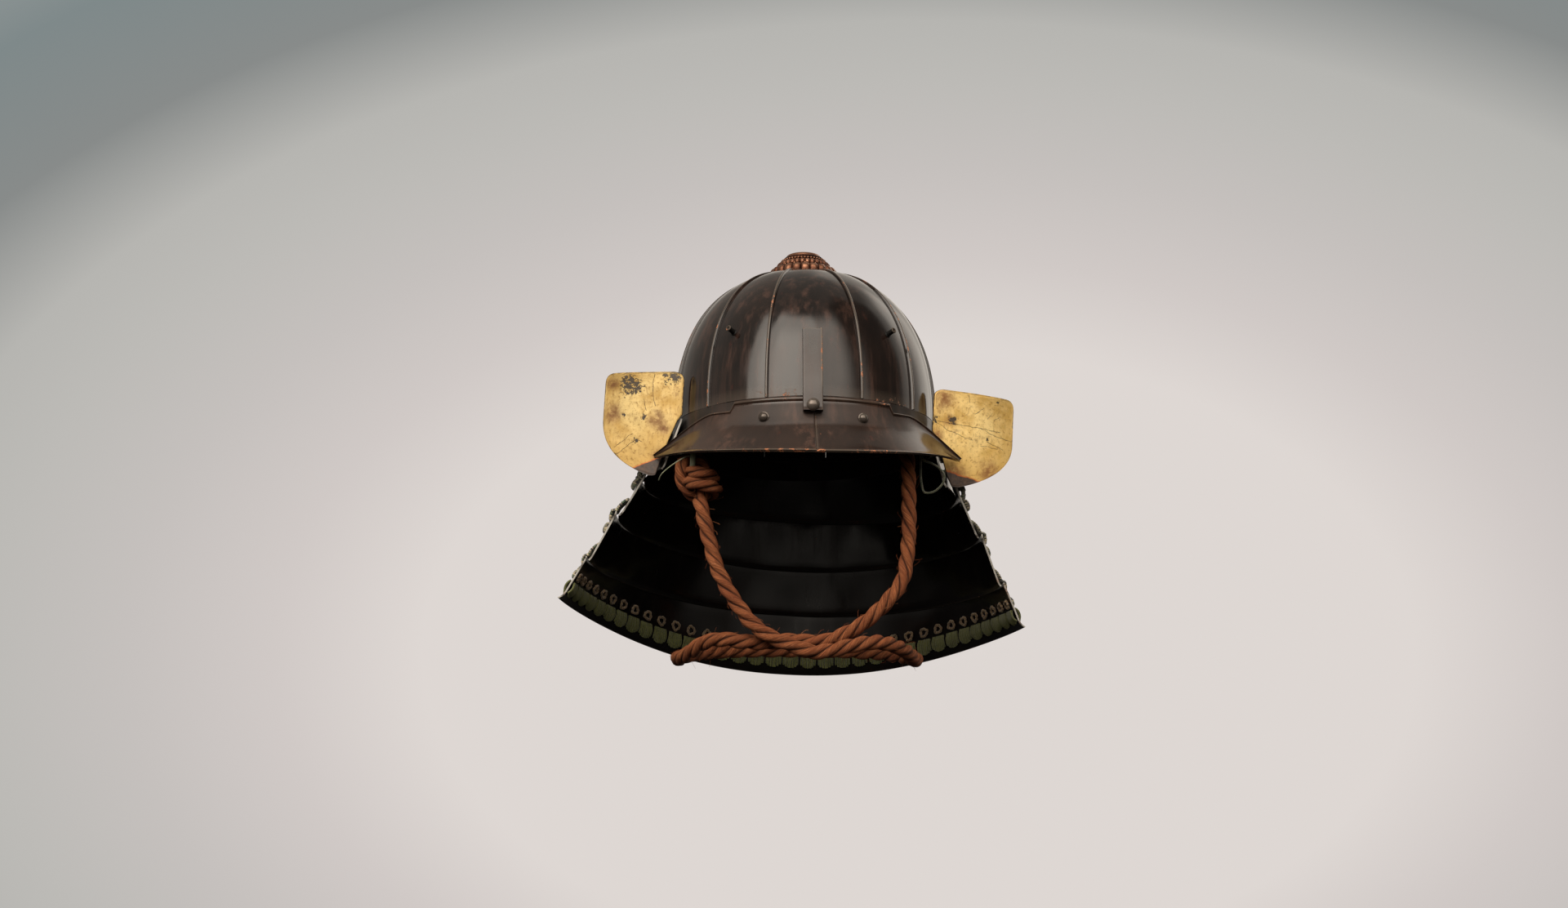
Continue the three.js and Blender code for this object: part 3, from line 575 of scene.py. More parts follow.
def gold_leaf(name, painted_light_scale, blotches, stains, cracks, flap):
    """Gold leaf. The paint "leaf" holds the place on the plate in mm / 100: x outwards from the
    fold and y up; its z runs up to the edge and is 1 behind. blotches are (x, y, reach) of lost leaf
    and stains the same of brown. cracks are polylines. Under the line y = flap[0] + flap[1] x the
    gilding stops."""
    r = Recipe(name)
    leaf = r.paint("leaf", "Vector")
    x, y, depth = (r.parts(leaf)[k] for k in range(3))
    cloudy = r.noise(3.2, 4, 0.6, leaf)
    fine = r.noise(30, 6, 0.75, leaf)

    def shaken(scale, detail, rough, reach):
        """The place on the leaf, pushed about in its plane by a noise of colours."""
        push = r.vector("SUBTRACT", r.noise(scale, detail, rough, leaf, output="Color"), (0.5, 0.5, 0.5))
        moved = r.vector("ADD", leaf, r.vector("SCALE", push, Scale=reach))
        return r.vector("MULTIPLY", moved, (1, 1, 0))

    def spot(spot_x, spot_y, reach):
        """1 in the middle of a ragged spot, and 0 from its reach outwards."""
        return r.span(r.vector("DISTANCE", ragged, (spot_x, spot_y, 0)), 0.0, reach, 1.0, 0.0)

    ragged = shaken(11, 5, 0.7, 0.11)
    wavy = shaken(9, 4, 0.65, 0.045)
    shades = ((0.56, 0.340, 0.085), (0.98, 0.74, 0.320), (0.34, 0.175, 0.042), (0.22, 0.092, 0.028))
    # Painted light: every shade is scaled by how much light falls on this side.
    low, high, dull, brown = ([painted_light_scale * c for c in shade] for shade in shades)
    colour = r.mix(r.span(cloudy, 0.34, 0.66), low, high)
    rim = r.span(r.math("ADD", depth, r.span(cloudy, 0.3, 0.7, -0.05, 0.05)), 0.0, 0.11, 0.0, 0.5)
    colour = r.mix(rim, colour, low)
    # Painted reflection: the leaf darkens towards its foot, where it faces the darker low room.
    colour = r.mix(r.span(y, -0.48, 0.10, 0.75, 0.0), colour, low)
    colour = r.mix(r.span(fine, 0.50, 0.68, 0.0, 0.85), colour, dull)
    brushed = r.noise(1.0, 5, 0.7, leaf, (38, 9, 1))
    colour = r.mix(r.span(brushed, 0.52, 0.72, 0.0, 0.5), colour, dull)
    for stain in stains:
        here = r.math("MULTIPLY", spot(*stain), r.span(r.noise(14, 5, 0.7, leaf), 0.3, 0.6, 0.25, 1.0))
        colour = r.mix(here, colour, brown)
    colour = r.mix(r.span(r.noise(6.5, 5, 0.72, leaf), 0.56, 0.74, 0.0, 0.6), colour, brown)
    lost = r.span(r.noise(27, 7, 0.85, leaf), 0.635, 0.67)
    speckle = r.span(r.noise(33, 6, 0.75, leaf), 0.30, 0.70, -0.6, 0.6)
    for blotch in blotches:
        lost = r.math("MAXIMUM", lost, r.span(r.math("ADD", spot(*blotch), speckle), 0.62, 0.70))
    near = None
    for line in cracks:
        for (ax, ay), (bx, by) in zip(line[:-1], line[1:]):
            step = (bx - ax, by - ay, 0)
            square = step[0] ** 2 + step[1] ** 2
            start = r.vector("SUBTRACT", wavy, (ax, ay, 0))
            share = r.vector("DOT_PRODUCT", start, (step[0] / square, step[1] / square, 0))
            along = r.step("ShaderNodeClamp", {"Value": share}).outputs[0]
            away = r.vector("DISTANCE", start, r.vector("SCALE", step, Scale=along))
            near = away if near is None else r.math("MINIMUM", near, away)
    broken = r.span(r.noise(40, 4, 0.7, leaf), 0.36, 0.52, 0.2, 1.0)
    crack = r.math("MULTIPLY", r.span(near, 0.0009, 0.0034, 0.95, 0.0), broken)
    colour = r.mix(crack, colour, (0.045, 0.022, 0.008))
    colour = r.mix(lost, colour, (0.040, 0.026, 0.014))
    slope = r.math("MULTIPLY_ADD", x, flap[1], flap[0])
    shaken_y = r.math("MULTIPLY_ADD", r.noise(9, 3, 0.6, leaf), 0.05, y)
    edge = r.math("SUBTRACT", shaken_y, r.math("ADD", slope, 0.025))
    bare = r.span(edge, -0.004, 0.004, 1.0, 0.0)
    under = r.mix(r.span(fine, 0.35, 0.65), (0.020, 0.012, 0.009), (0.075, 0.040, 0.024))
    colour = r.mix(r.span(edge, 0.0, 0.02, 0.85, 0.0), colour, (0.42, 0.075, 0.014))
    colour = r.mix(bare, colour, under)
    border = r.span(r.math("ADD", depth, r.span(fine, 0.3, 0.7, -0.22, 0.22)), 0.40, 0.46)
    colour = r.mix(border, colour, (0.024, 0.014, 0.010))
    plain = r.math("MAXIMUM", r.math("MAXIMUM", lost, bare), r.math("MAXIMUM", border, crack))
    metal = r.span(plain, 0.2, 0.8, 0.45, 0.0)
    roughness = r.span(fine, 0.3, 0.7, 0.34, 0.52)
    normal = r.bump(r.noise(4, 2, 0.5, leaf), 1.6, 0.5)
    normal = r.bump(fine, 0.14, 0.6, normal)
    normal = r.bump(r.math("MAXIMUM", lost, crack), -0.2, 0.7, normal)
    return r.finish(colour, roughness, normal, Metallic=metal)


aged_copper = copper()
print("copper made")

# %% [markdown]
# ### Silk and hemp
# Laces are flat braids of dyed silk: navy over most of the guard, and cream with green and navy at
# the front edges. Their pattern follows the paint "grain", which holds the place across and along the
# braid. The chin cord is plant fibre, laid in three strands whose yarns run the other way.


# %% Braid and rope
BRAID_SLANT = 38  # degrees between the braid's ridges and its length


def braid(name, colours, pitch, relief):
    """Braided silk. Two slanted sets of ridges cross in the grain, and each cell takes one of the
    colours: (colour, share) pairs from the first to the last."""
    r = Recipe(name)
    place = r.paint("grain", "Vector")
    ridges = r.math("MAXIMUM", *(r.waves(pitch, place, slant) for slant in (BRAID_SLANT, -BRAID_SLANT)))
    pick = r.parts(r.cells(pitch * 2.2, place, 0.8, "Color"))[0]
    colour = colours[0][0]
    for next_colour, share in colours[1:]:
        colour = r.mix(r.span(pick, share - 0.02, share + 0.02), colour, next_colour)
    worn = r.noise(45, 4, 0.65)
    colour = r.mix(r.span(worn, 0.3, 0.7, 0.0, 0.45), colour, [c * 0.35 for c in colours[0][0]])
    # Painted shade in the grooves between the braid's ridges.
    colour = r.mix(r.span(ridges, 0.05, 0.6, 0.7, 0.0), colour, (0.006, 0.006, 0.008))
    normal = r.bump(ridges, relief, 0.9)
    normal = r.bump(r.noise(900, 2, 0.6), 0.12, 0.4, normal)
    return r.finish(colour, r.span(worn, 0.3, 0.7, 0.6, 0.85), normal, Sheen_Weight=0.3, Sheen_Roughness=0.4)


def hemp():
    """Twisted plant fibre: long fibres along each strand, as stretched noise in its grain. The paint
    "shade" tells the strands apart, and "depth" paints shade into the grooves between them."""
    r = Recipe("rust hemp")
    place = r.paint("grain", "Vector")
    fibres = r.noise(1.0, 5, 0.75, place, (4.5, 4.5, 1.6))
    fine = r.noise(1.0, 5, 0.75, place, (15, 15, 4.5))
    patch = r.noise(1.0, 3, 0.6, r.paint("shade", "Vector"), (9, 9, 9))
    colour = r.mix(r.span(fibres, 0.34, 0.66), (0.075, 0.016, 0.0045), (0.30, 0.088, 0.029))
    # Pale fine fibres: partly the fibre's own colour, partly painted highlight.
    colour = r.mix(r.span(fine, 0.5, 0.70, 0.0, 0.85), colour, (0.66, 0.29, 0.120))
    colour = r.mix(r.span(fine, 0.30, 0.46, 0.9, 0.0), colour, (0.050, 0.012, 0.005))
    colour = r.mix(r.span(patch, 0.4, 0.65, 0.0, 0.5), colour, (0.120, 0.026, 0.009))
    # Painted shade in the grooves between the strands.
    colour = r.mix(r.span(r.paint("depth"), 0.66, 0.86, 0.95, 0.0), colour, (0.016, 0.0045, 0.0020))
    normal = r.bump(fibres, 1.6, 0.9)
    normal = r.bump(fine, 0.55, 0.9, normal)
    return r.finish(colour, 0.8, normal, IOR=1.35)


NAVY, DEEP_NAVY = (0.010, 0.014, 0.045), (0.004, 0.005, 0.018)
CREAM, PALE_GREEN = (0.68, 0.56, 0.36), (0.40, 0.47, 0.24)
OLIVE, MOSS = (0.175, 0.180, 0.040), (0.080, 0.088, 0.018)
navy_silk = braid("navy silk", [(NAVY, 0), (DEEP_NAVY, 0.6)], 0.9, 0.5)
variegated_silk = braid(
    "variegated silk", [(CREAM, 0), ((0.10, 0.17, 0.075), 0.32), (DEEP_NAVY, 0.50)], 0.45, 0.6
)
olive_silk = braid("olive silk", [(OLIVE, 0), (MOSS, 0.55)], 0.8, 0.2)
beige_silk = braid("beige silk", [((0.40, 0.25, 0.12), 0), ((0.10, 0.075, 0.035), 0.6)], 0.8, 0.3)
speckled_braid = braid("speckled braid", [(PALE_GREEN, 0), (CREAM, 0.5), ((0.12, 0.17, 0.06), 0.8)], 2.4, 0.4)
dark_braid = braid(
    "dark braid", [((0.10, 0.13, 0.05), 0), ((0.035, 0.045, 0.02), 0.4), (CREAM, 0.85)], 2.0, 0.3
)
rust_hemp = hemp()
print("silks and hemp made")

# %% [markdown]
# ## Cords
# The chin cord leaves its knot at the left, goes under the chin, round behind the neck, under the
# chin again and up inside the right of the peak. On a real stand a head would fill that loop. Its
# path is the same list of points that the CAD model's plain tube follows.

# %% Chin cord
CORD_RADIUS = 6.6
CORD_LAY = -50.0  # mm along the rope for one turn of a strand; the sign says which way it winds
CHIN_CORD_ROUTE = [
    (-94, -84, -80.8), (-92, -88, -92), (-86.6, -92, -116), (-78.3, -97, -145), (-62, -103, -175),
    (-47.5, -107, -193), (-31, -110, -204), (-15.5, -111, -210), (0.5, -111, -215), (16, -110, -213.5),
    (33, -107, -209), (56, -96, -204), (70, -82, -204), (82, -64, -206), (91, -40, -208),
    (97, -10, -206), (92, 28, -198), (70, 58, -190), (38, 74, -186), (0, 79, -185),
    (-40, 73, -186), (-74, 56, -190), (-100, 26, -198), (-110, -8, -206), (-106, -38, -209),
    (-99, -54, -206), (-88, -70, -201), (-74, -82, -200.5), (-58, -90, -203.5), (-40, -94.5, -205),
    (-15, -95, -203), (8, -94.5, -204), (27, -95.5, -198), (46, -98, -187), (65, -99, -169),
    (78, -97, -150), (83.5, -92, -118), (84.8, -88, -85), (84.6, -84, -50), (83, -77, -31),
]
chin_path = route(CHIN_CORD_ROUTE, 1.6)
chin_rope = rope(chin_path, CORD_RADIUS, CORD_LAY, start=0.0, swell=0.025)
chin_cord = piece("chin_cord_rope", chin_rope, rust_hemp, ["chin_cord"])
print("chin cord", round(length_of(chin_path)), "mm")

# %% [markdown]
# The knot is the rope's other end. It makes an eye over the tie loop, and two turns round itself
# below the eye. Its strands are the same rope, so one more route carries them.

# %% Knot
KNOT_ROUTE = [
    (-94, -84, -80.6), (-92, -83, -73), (-90.3, -83, -65), (-90, -84, -56), (-93.5, -84.5, -47.5),
    (-100.7, -85, -43.2), (-107.8, -85, -47.5), (-110.8, -84.5, -57), (-108, -82, -67),
    (-101.5, -77, -74), (-91, -73.5, -75.5), (-82.5, -77.5, -73), (-80, -85, -71), (-84.5, -92.5, -70.3),
    (-92, -95, -69.5), (-99.5, -92, -67.5), (-104.5, -85, -65.5), (-102.5, -76.5, -63.5),
    (-93.5, -72.5, -62.5), (-84.5, -76, -61.5), (-82.5, -84, -61), (-86.5, -92.5, -60.5),
    (-93, -95.5, -60), (-99.5, -92.5, -58.5), (-102, -86, -56),
]
KNOT_RADIUS, KNOT_LAY = 5.8, -48
knot_path = route(KNOT_ROUTE, 1.5)
knot_rope = rope(knot_path, KNOT_RADIUS, KNOT_LAY, start=0.6, swell=0.03)
knot = piece("chin_knot_rope", knot_rope, rust_hemp, ["chin_knot"])
loose = together(
    hairs(chin_path, CORD_RADIUS, count=420, seed=7), hairs(knot_path, KNOT_RADIUS, count=90, seed=11)
)
fibres = piece("rope_fibres", loose, rust_hemp)
print("knot", round(length_of(knot_path)), "mm of rope")

# %% [markdown]
# Two thin braids hang from the base band. The left one holds the knot's eye, and the right one is an
# empty loop. A braid is a tube whose finish carries the plait.


# %% Tie loops and whipping
def braided(path, radius, sides):
    """A braid: the grain runs round it and along it in mm, so that the plait keeps its scale."""
    run = np.linspace(0, length_of(path), len(path))
    return shape(tube_grid(path, radius, sides), grain=xyz(radius * circle(sides), run[:, None], 0.0))


TIE_LEFT_ROUTE = [
    (-92.5, -61.5, -12), (-96.5, -76, -25), (-100.2, -92, -35), (-100.7, -94.6, -43),
    (-100.7, -91.6, -50.2), (-100.7, -84, -53.2), (-100.7, -76.4, -50.2), (-100, -73.4, -43),
    (-96.5, -71, -30), (-88, -68, -12),
]
TIE_RIGHT_ROUTE = [
    (94.5, -66, -12), (95, -77, -26), (95, -88, -38), (97.5, -93, -45.5), (103.5, -93.5, -48),
    (110.5, -90.5, -51.5), (115.6, -87, -57.5), (114, -84.5, -64.5), (106.5, -82.5, -71), (99.5, -79, -71),
    (97, -75, -62), (97, -70, -40), (97, -62, -12),
]
tie_paths = {"left": route(TIE_LEFT_ROUTE), "right": route(TIE_RIGHT_ROUTE)}
THREAD_ROUTE = [
    (-103, -93, -44), (-107, -95, -45.5), (-114, -92, -49), (-121, -86, -53), (-127, -76, -57),
    (-129, -66, -60),
]
LEFT_RADIUS, RIGHT_RADIUS, THREAD_RADIUS = 2.4, 1.0, 0.5
left_braid = braided(tie_paths["left"], LEFT_RADIUS, 14)
right_braid = braided(tie_paths["right"], RIGHT_RADIUS, 10)
loose_thread = braided(route(THREAD_ROUTE), THREAD_RADIUS, 8)
tie_left = piece("tie_braid_left", left_braid, speckled_braid, ["tie_loop_left"])
tie_right = piece("tie_braid_right", right_braid, dark_braid, ["tie_loop_right"])
thread = piece("knot_thread", loose_thread, speckled_braid)

WHIPPING_RADIUS, WHIPPING_LENGTH, WHIPPING_TURNS = 7.4, 14.0, 9
end = chin_path[-1]
end_way = unit(end - chin_path[-4])
wind = np.linspace(0, 1, WHIPPING_TURNS * 20 + 1)[:, None]
wind_side = unit(np.cross([0, 1.0, 0], end_way))
wind_up = np.cross(end_way, wind_side)
wind_angle = 2 * math.pi * WHIPPING_TURNS * wind
wind_out = wind_side * np.cos(wind_angle) + wind_up * np.sin(wind_angle)
wound = end + end_way * (0.6 + (WHIPPING_LENGTH - 1.2) * wind) + (WHIPPING_RADIUS - 0.7) * wind_out
core_run = np.array([0.4, 0.5, 3, 8, 12, WHIPPING_LENGTH - 0.4, WHIPPING_LENGTH])
core_radius = np.array([5.5, 6.2, 6.4, 6.4, 6.3, 5.6, 3.5])
core = tube_grid(end + end_way * core_run[:, None], core_radius, 20)
whipping = piece(
    "cord_whipping",
    together(braided(wound, 0.85, 8), shape(core, grain=core)),
    speckled_braid,
    ["chin_cord_whipping"],
)


# %% [markdown]
# ## Bowl
# A point of the bowl has a turn from the front and a rise from the lower edge. Its plan and profile
# are superellipses a little fuller than an ellipse. Each plate swells between its seams, and its
# first edge is turned up as a rib. Computing the plates keeps the seams parallel from foot to crown.

# %% Bowl surface
HALF_WIDTH, HALF_LENGTH, HEIGHT, FULLNESS = 115.0, 136.0, 140.0, 2.35
CROWN_RADIUS = 22.0
PLATE_COUNT, FRONT_PLATE_ANGLE = 12, 41.0
LOBE, BOWL_WALL, SEAM_GAP = 1.4, 1.6, 0.35
RIB_HEIGHT, RIB_WIDTH = 2.3, 2.6


def spread_at(rise):
    """How wide the bowl still is, as a share: cos(rise) to the power 2 / fullness."""
    return np.cos(rise) ** (2 / FULLNESS)


def bowl_normal_and_point(turn, rise):
    """x and y are an ellipse scaled by the spread; z is height times sin(rise) ^ (2 / fullness).
    The normal is the gradient of that superellipsoid."""
    spread = spread_at(rise)
    x = HALF_WIDTH * spread * np.sin(turn)
    y = -HALF_LENGTH * spread * np.cos(turn)
    z = HEIGHT * np.sin(rise) ** (2 / FULLNESS)
    flat = spread ** (FULLNESS - 2)
    slope = z ** (FULLNESS - 1) / HEIGHT**FULLNESS
    return unit(xyz(flat * x / HALF_WIDTH**2, flat * y / HALF_LENGTH**2, slope)), xyz(x, y, z)


def bowl_point(turn, rise, out=0.0):
    """The point of the bowl, moved out along its normal by this many mm."""
    turn, rise, out = np.broadcast_arrays(turn, rise, out)
    normal, point = bowl_normal_and_point(turn, rise)
    return point + normal * out[..., None]


def rise_at(z):
    """The rise at which the bowl has this height: the profile turned round."""
    return math.asin((z / HEIGHT) ** (FULLNESS / 2))


def turn_of(length, turn, rise):
    """The turn that a length along the bowl takes: length / (spread times the ellipse's speed)."""
    speed = np.hypot(HALF_WIDTH * np.cos(turn), HALF_LENGTH * np.sin(turn))
    return length / (spread_at(rise) * speed)


TOP_RISE = math.acos((CROWN_RADIUS / HALF_WIDTH) ** (FULLNESS / 2))
half_front = math.radians(FRONT_PLATE_ANGLE / 2)
seams = np.concatenate([[-half_front], np.linspace(half_front, 2 * math.pi - half_front, PLATE_COUNT)])


def plate(first, last):
    """A wall whose columns are a round rib at its first seam, then even shares to the next one."""
    rise = np.linspace(0.0, TOP_RISE, 60)[None, :]
    round_rib = np.linspace(0.76, math.pi, 9)
    rib_middle, rib_half = RIB_WIDTH * 0.42, RIB_WIDTH * 0.58
    along = rib_middle - rib_half * np.cos(round_rib)
    lift = np.maximum(0, 1 - np.abs((along - rib_middle) / rib_half) ** 2.4) ** (1 / 2.4)
    rib_turn = first + turn_of(along[:, None], first, rise)
    foot = first + turn_of(RIB_WIDTH * 1.02, first, rise)
    stop = last - turn_of(SEAM_GAP, last, rise)
    share = np.linspace(0.02, 1, 26)[:, None]
    turn = np.concatenate([rib_turn, foot + (stop - foot) * share])
    lift = np.concatenate([lift, np.zeros(len(share))])[:, None]
    spread = spread_at(rise)
    swell = LOBE * spread * np.sin(math.pi * np.clip((turn - first) / (last - first), 0, 1))
    outer = bowl_point(turn, rise, swell + lift * RIB_HEIGHT * (0.4 + 0.6 * spread))
    inner = bowl_point(turn, rise, swell - BOWL_WALL)
    # The rib crests, and half as much the plate's foot, count as rubbed: the pale tone along each rib is
    # partly a painted highlight.
    return wall(outer, inner, wear=np.maximum(smooth(lift, 0.75, 1.0), 0.5 * smooth(rise, 0.05, 0.0)))


for number in range(PLATE_COUNT):
    name = f"plate_{number + 1:02d}"
    made = plate(seams[number], seams[number + 1])
    piece(f"lacquered_{name}", made, black_lacquer, [f"bowl_{name}"], edge=0.3, sharp=50)
print("plates", PLATE_COUNT, "of", counts["lacquered_plate_01"], "quads")

# %% [markdown]
# The base band is a strip of rough-lacquered iron round the outside of the plates' lower edge. The
# peak and the top lame hang on it. Its lower edge is rolled, so the section has a small bead there. A
# thin tongue stands up behind the plates' feet, so that no light comes through the joint.

# %% Base band
BAND_TOP, BAND_BOTTOM, BAND_OUT, BAND_WALL = -0.35, -18.0, 1.3, 1.4
TONGUE_TOP, TONGUE_INSIDE, TONGUE_OUTSIDE = 3.0, -1.95, -1.66
band_turn = circle(220)[:, None]
band_z = np.linspace(BAND_TOP, BAND_BOTTOM, 15)[None, :]


def band_point(turn, z, out):
    """An upright ellipse, this far outside the bowl's foot."""
    return xyz((HALF_WIDTH + out) * np.sin(turn), -(HALF_LENGTH + out) * np.cos(turn), z)


rolled_edge = 0.9 * np.exp(-(((band_z - BAND_BOTTOM - 1.2) / 1.1) ** 2))
ripple = 0.25 * np.sin(9 * band_turn + 1.3) * np.sin(band_z / 3.1) + 0.15 * np.sin(31 * band_turn)
inside = np.array([
    (BAND_OUT - BAND_WALL, BAND_BOTTOM), (BAND_OUT - BAND_WALL, -1.4), (TONGUE_INSIDE, -0.9),
    (TONGUE_INSIDE, TONGUE_TOP), (TONGUE_OUTSIDE, TONGUE_TOP), (TONGUE_OUTSIDE, BAND_TOP),
])
band_outer = band_point(band_turn, band_z, BAND_OUT + rolled_edge + ripple)
band_inner = band_point(band_turn, inside[:, 1], inside[:, 0])
band_wear = np.concatenate([smooth(rolled_edge, 0.3, 0.9)[0], np.zeros(len(inside))])
band = shape(np.concatenate([band_outer, band_inner], axis=1), ring_u=True, wear=band_wear)
piece("base_band", band, band_lacquer, ["bowl_base_band"], edge=0.3)
print("base band", counts["base_band"], "quads")

# %% [markdown]
# ## Peak
# The peak is two lacquered halves that meet in a crease under the crest socket. Its section is a
# Bezier curve: down the bowl as a flange, then out to the edge. Towards the tips the flange shrinks,
# and the upper edge leaves the bowl. The crease and the worn lower edge are added to that surface.

# %% Peak surface
SWEEP = math.radians(70)
PEAK_CLEAR, PEAK_WALL = 3.3, 1.5
FLANGE_TOP, FLANGE_DROP, HUGS = -1.0, 24.0, 44 / 70
TIP_OUT, TIP_FORWARD, TIP_Z, TIP_HEIGHT = 24.0, 8.0, -39.0, 3.0
FRONT_REACH, EDGE_HALF_WIDTH, FRONT_Z = 166.0, 140.5, -54.0
FLANGE_END = 34 / 70  # the share of the sweep where the flange stops short and the band shows


def peak_point(side, v):
    """A cubic Bezier between the upper edge and the lower one. side runs from -1 to 1."""
    side, v = np.broadcast_arrays(side, v)
    turn = SWEEP * side
    leave = smooth((np.abs(side) - HUGS) / (1 - HUGS), 0, 1.25) / smooth(1.0, 0, 1.25)
    top = xyz(
        (HALF_WIDTH + PEAK_CLEAR + leave * TIP_OUT) * np.sin(turn),
        -(HALF_LENGTH + PEAK_CLEAR) * np.cos(turn) - leave * TIP_FORWARD,
        FLANGE_TOP + leave * (TIP_Z + TIP_HEIGHT - FLANGE_TOP),
    )
    rim_z = FRONT_Z + (TIP_Z - FRONT_Z) * (np.sin(turn) / math.sin(SWEEP)) ** 2
    rim = xyz(EDGE_HALF_WIDTH * np.sin(turn), -FRONT_REACH * np.cos(turn), rim_z)
    narrow = (1 - np.abs(side) ** 3)[..., None]
    flange = top + narrow * [0, 0, -FLANGE_DROP]
    spring = rim + (flange - rim) * 0.55 + narrow * [0, 0, 4.0]
    v = v[..., None]
    return (1 - v) ** 3 * top + 3 * (1 - v) ** 2 * v * flange + 3 * (1 - v) * v**2 * spring + v**3 * rim


def peak_wall():
    """The surface with a thickness. Outside it has a crease, a small step where one half laps the
    other, a bead along the top, a lip along the lower edge and a slow roll between them."""
    halves = (np.linspace(-1, -0.03, 76), np.linspace(-0.027, 0.027, 21), np.linspace(0.03, 1, 76))
    zones = (np.linspace(0, 0.09, 15), np.linspace(0.11, 0.93, 24), np.linspace(0.94, 1, 7))
    side = np.concatenate(halves)[:, None]
    v = np.concatenate(zones)[None, :]
    cut = 0.13 * smooth(np.abs(side), FLANGE_END, FLANGE_END + 0.02)
    surface = peak_point(side, cut + (1 - cut) * v)
    inward = sheet_normal(surface)
    x = surface[..., 0]
    crease = 1.3 * np.exp(-(((x - 1.4) / 0.95) ** 2)) * smooth(v, 0.12, 0.3)
    step = 0.45 * smooth(x, 0.9, -0.4) * smooth(np.abs(side), 0.5, 0.1) * smooth(v, 0.12, 0.3)
    bead = np.abs(np.cos(math.pi / 2 * np.clip((v - 0.029) / 0.029, -1, 1))) ** 0.8
    lip = 0.7 * smooth(v, 0.955, 0.99) + 1.1 * bead
    roll = 0.5 * np.sin(5.3 * side + 0.6) * smooth(v, 0.3, 0.7) * smooth(v, 1.0, 0.9)
    outer = surface - inward * (step + lip + roll - 0.8 * crease)[..., None]
    rim_wear = smooth(v, 0.965, 0.985) * smooth(np.abs(side + 0.02), 0.62, 0.45)
    # The top bead counts as half rubbed, so a painted highlight runs along it, with some real chips.
    top_wear_and_highlight = 0.5 * smooth(bead, 0.6, 1.0)
    wear = np.maximum(np.maximum(rim_wear, top_wear_and_highlight), 0.5 * crease)
    dull = smooth(v, 0.06, 0.10) * smooth(v, 0.55, 0.35) * smooth(np.abs(side), 0.75, 0.5)
    return wall(outer, surface + inward * PEAK_WALL, wear=wear, dull=dull)


piece("lacquered_peak", peak_wall(), peak_lacquer, ["peak"], edge=0.35, sharp=50)
print("peak", counts["lacquered_peak"], "quads")

# %% [markdown]
# ## Small fittings
# The crest socket is a flat tube of sheet iron, open at both ends for a crest's tang. Its top is
# ragged from use, and its right-hand corner is rubbed to the clay. The rivets are domes, and the
# four studs round the bowl are blunt pegs with a wider foot: all of these are turned profiles.


# %% Turned fittings
def turned(profile, sides=36):
    """A surface of revolution: each (radius, height) goes round the axis."""
    around = circle(sides)[None, :]
    profile = np.asarray(profile, float)
    r, z = profile[:, :1], profile[:, 1:]
    return xyz(r * np.sin(around), -r * np.cos(around), z)


def stood(grid, foot, way):
    """The grid moved to a foot, with its own z axis along the given way."""
    way = unit(np.asarray(way, float))
    side = unit(np.cross([0.3, 0.2, 1.0] if abs(way[2]) < 0.9 else [1.0, 0, 0], way))
    up = np.cross(way, side)
    return foot + grid[..., :1] * side + grid[..., 1:2] * up + grid[..., 2:] * way


def dome(radius, collar=0.0):
    """A rivet head: a low skirt, then an elliptic quarter round up to the pole."""
    quarter = np.linspace(0.06, math.pi / 2 - 0.02, 14)
    skirt = [(0.05, 0), (radius + collar, 0), (radius + collar, 0.5), (radius, 0.8)]
    return np.array(skirt + list(zip(radius * np.cos(quarter), 0.8 + 0.72 * radius * np.sin(quarter))))


RIVET_TURN, RIVET_DOWN = math.radians(20.2), 0.3
RIVET_RADIUS, RIVET_COLLAR, CENTRE_RIVET_RADIUS = 3.9, 0.8, 5.6
for side_name, sign in (("left", -1), ("right", 1)):
    turn = RIVET_TURN * sign
    foot = peak_point(turn / SWEEP, RIVET_DOWN)
    outward = np.array([math.sin(turn), -math.cos(turn), 0])
    grid = stood(turned(dome(RIVET_RADIUS, RIVET_COLLAR)), foot + outward * 1.3, outward)
    head = shape(grid, wear=0.35)
    piece(f"peak_rivet_{side_name}", head, rivet_iron, [f"rivet_{side_name}"])

STUD_TURN, STUD_Z = 37.5, 62.5
STUD_PROFILE = np.array([
    (0.05, -1.5), (3.0, -1.5), (3.0, -0.2), (2.7, 0.1), (2.35, 0.3), (2.2, 0.8), (2.1, 4.0),
    (2.15, 6.6), (2.5, 6.9), (2.55, 7.4), (2.2, 7.8), (1.5, 7.8), (1.3, 7.0), (0.05, 6.8),
])
stud_turns = {
    "front_left": -STUD_TURN, "front_right": STUD_TURN, "back_right": 180 - STUD_TURN,
    "back_left": STUD_TURN - 180,
}
for place, degrees in stud_turns.items():
    normal, foot = bowl_normal_and_point(math.radians(degrees), rise_at(STUD_Z))
    grid = stood(turned(STUD_PROFILE, 28), foot + normal * (LOBE + 0.4), normal)
    peg = shape(grid, wear=smooth(STUD_PROFILE[:, 1:], 6.6, 7.4))
    piece(f"bowl_stud_{place}", peg, peg_lacquer, [f"stud_{place}"], sharp=40)
print("rivets and studs made")

# %% Crest socket
SOCKET_X, SOCKET_WIDTH, SOCKET_DEPTH, SOCKET_WALL = -1.0, 17.0, 5.2, 1.0
SOCKET_BOTTOM, SOCKET_TOP, SOCKET_FRONT = -15.0, 59.0, -146.9
LEAN = math.radians(5)
socket_rise = np.linspace(0, 1, 50)[None, :]  # shares of the way up


def socket_ring(inset):
    """A rectangle with soft corners, as a superellipse of power 9, from the middle of its front."""
    a = circle(64)
    x = (SOCKET_WIDTH / 2 - inset) * signed_power(np.sin(a), 2 / 9)
    y = SOCKET_DEPTH / 2 - (SOCKET_DEPTH / 2 - inset) * signed_power(np.cos(a), 2 / 9)
    return x[:, None], y[:, None]


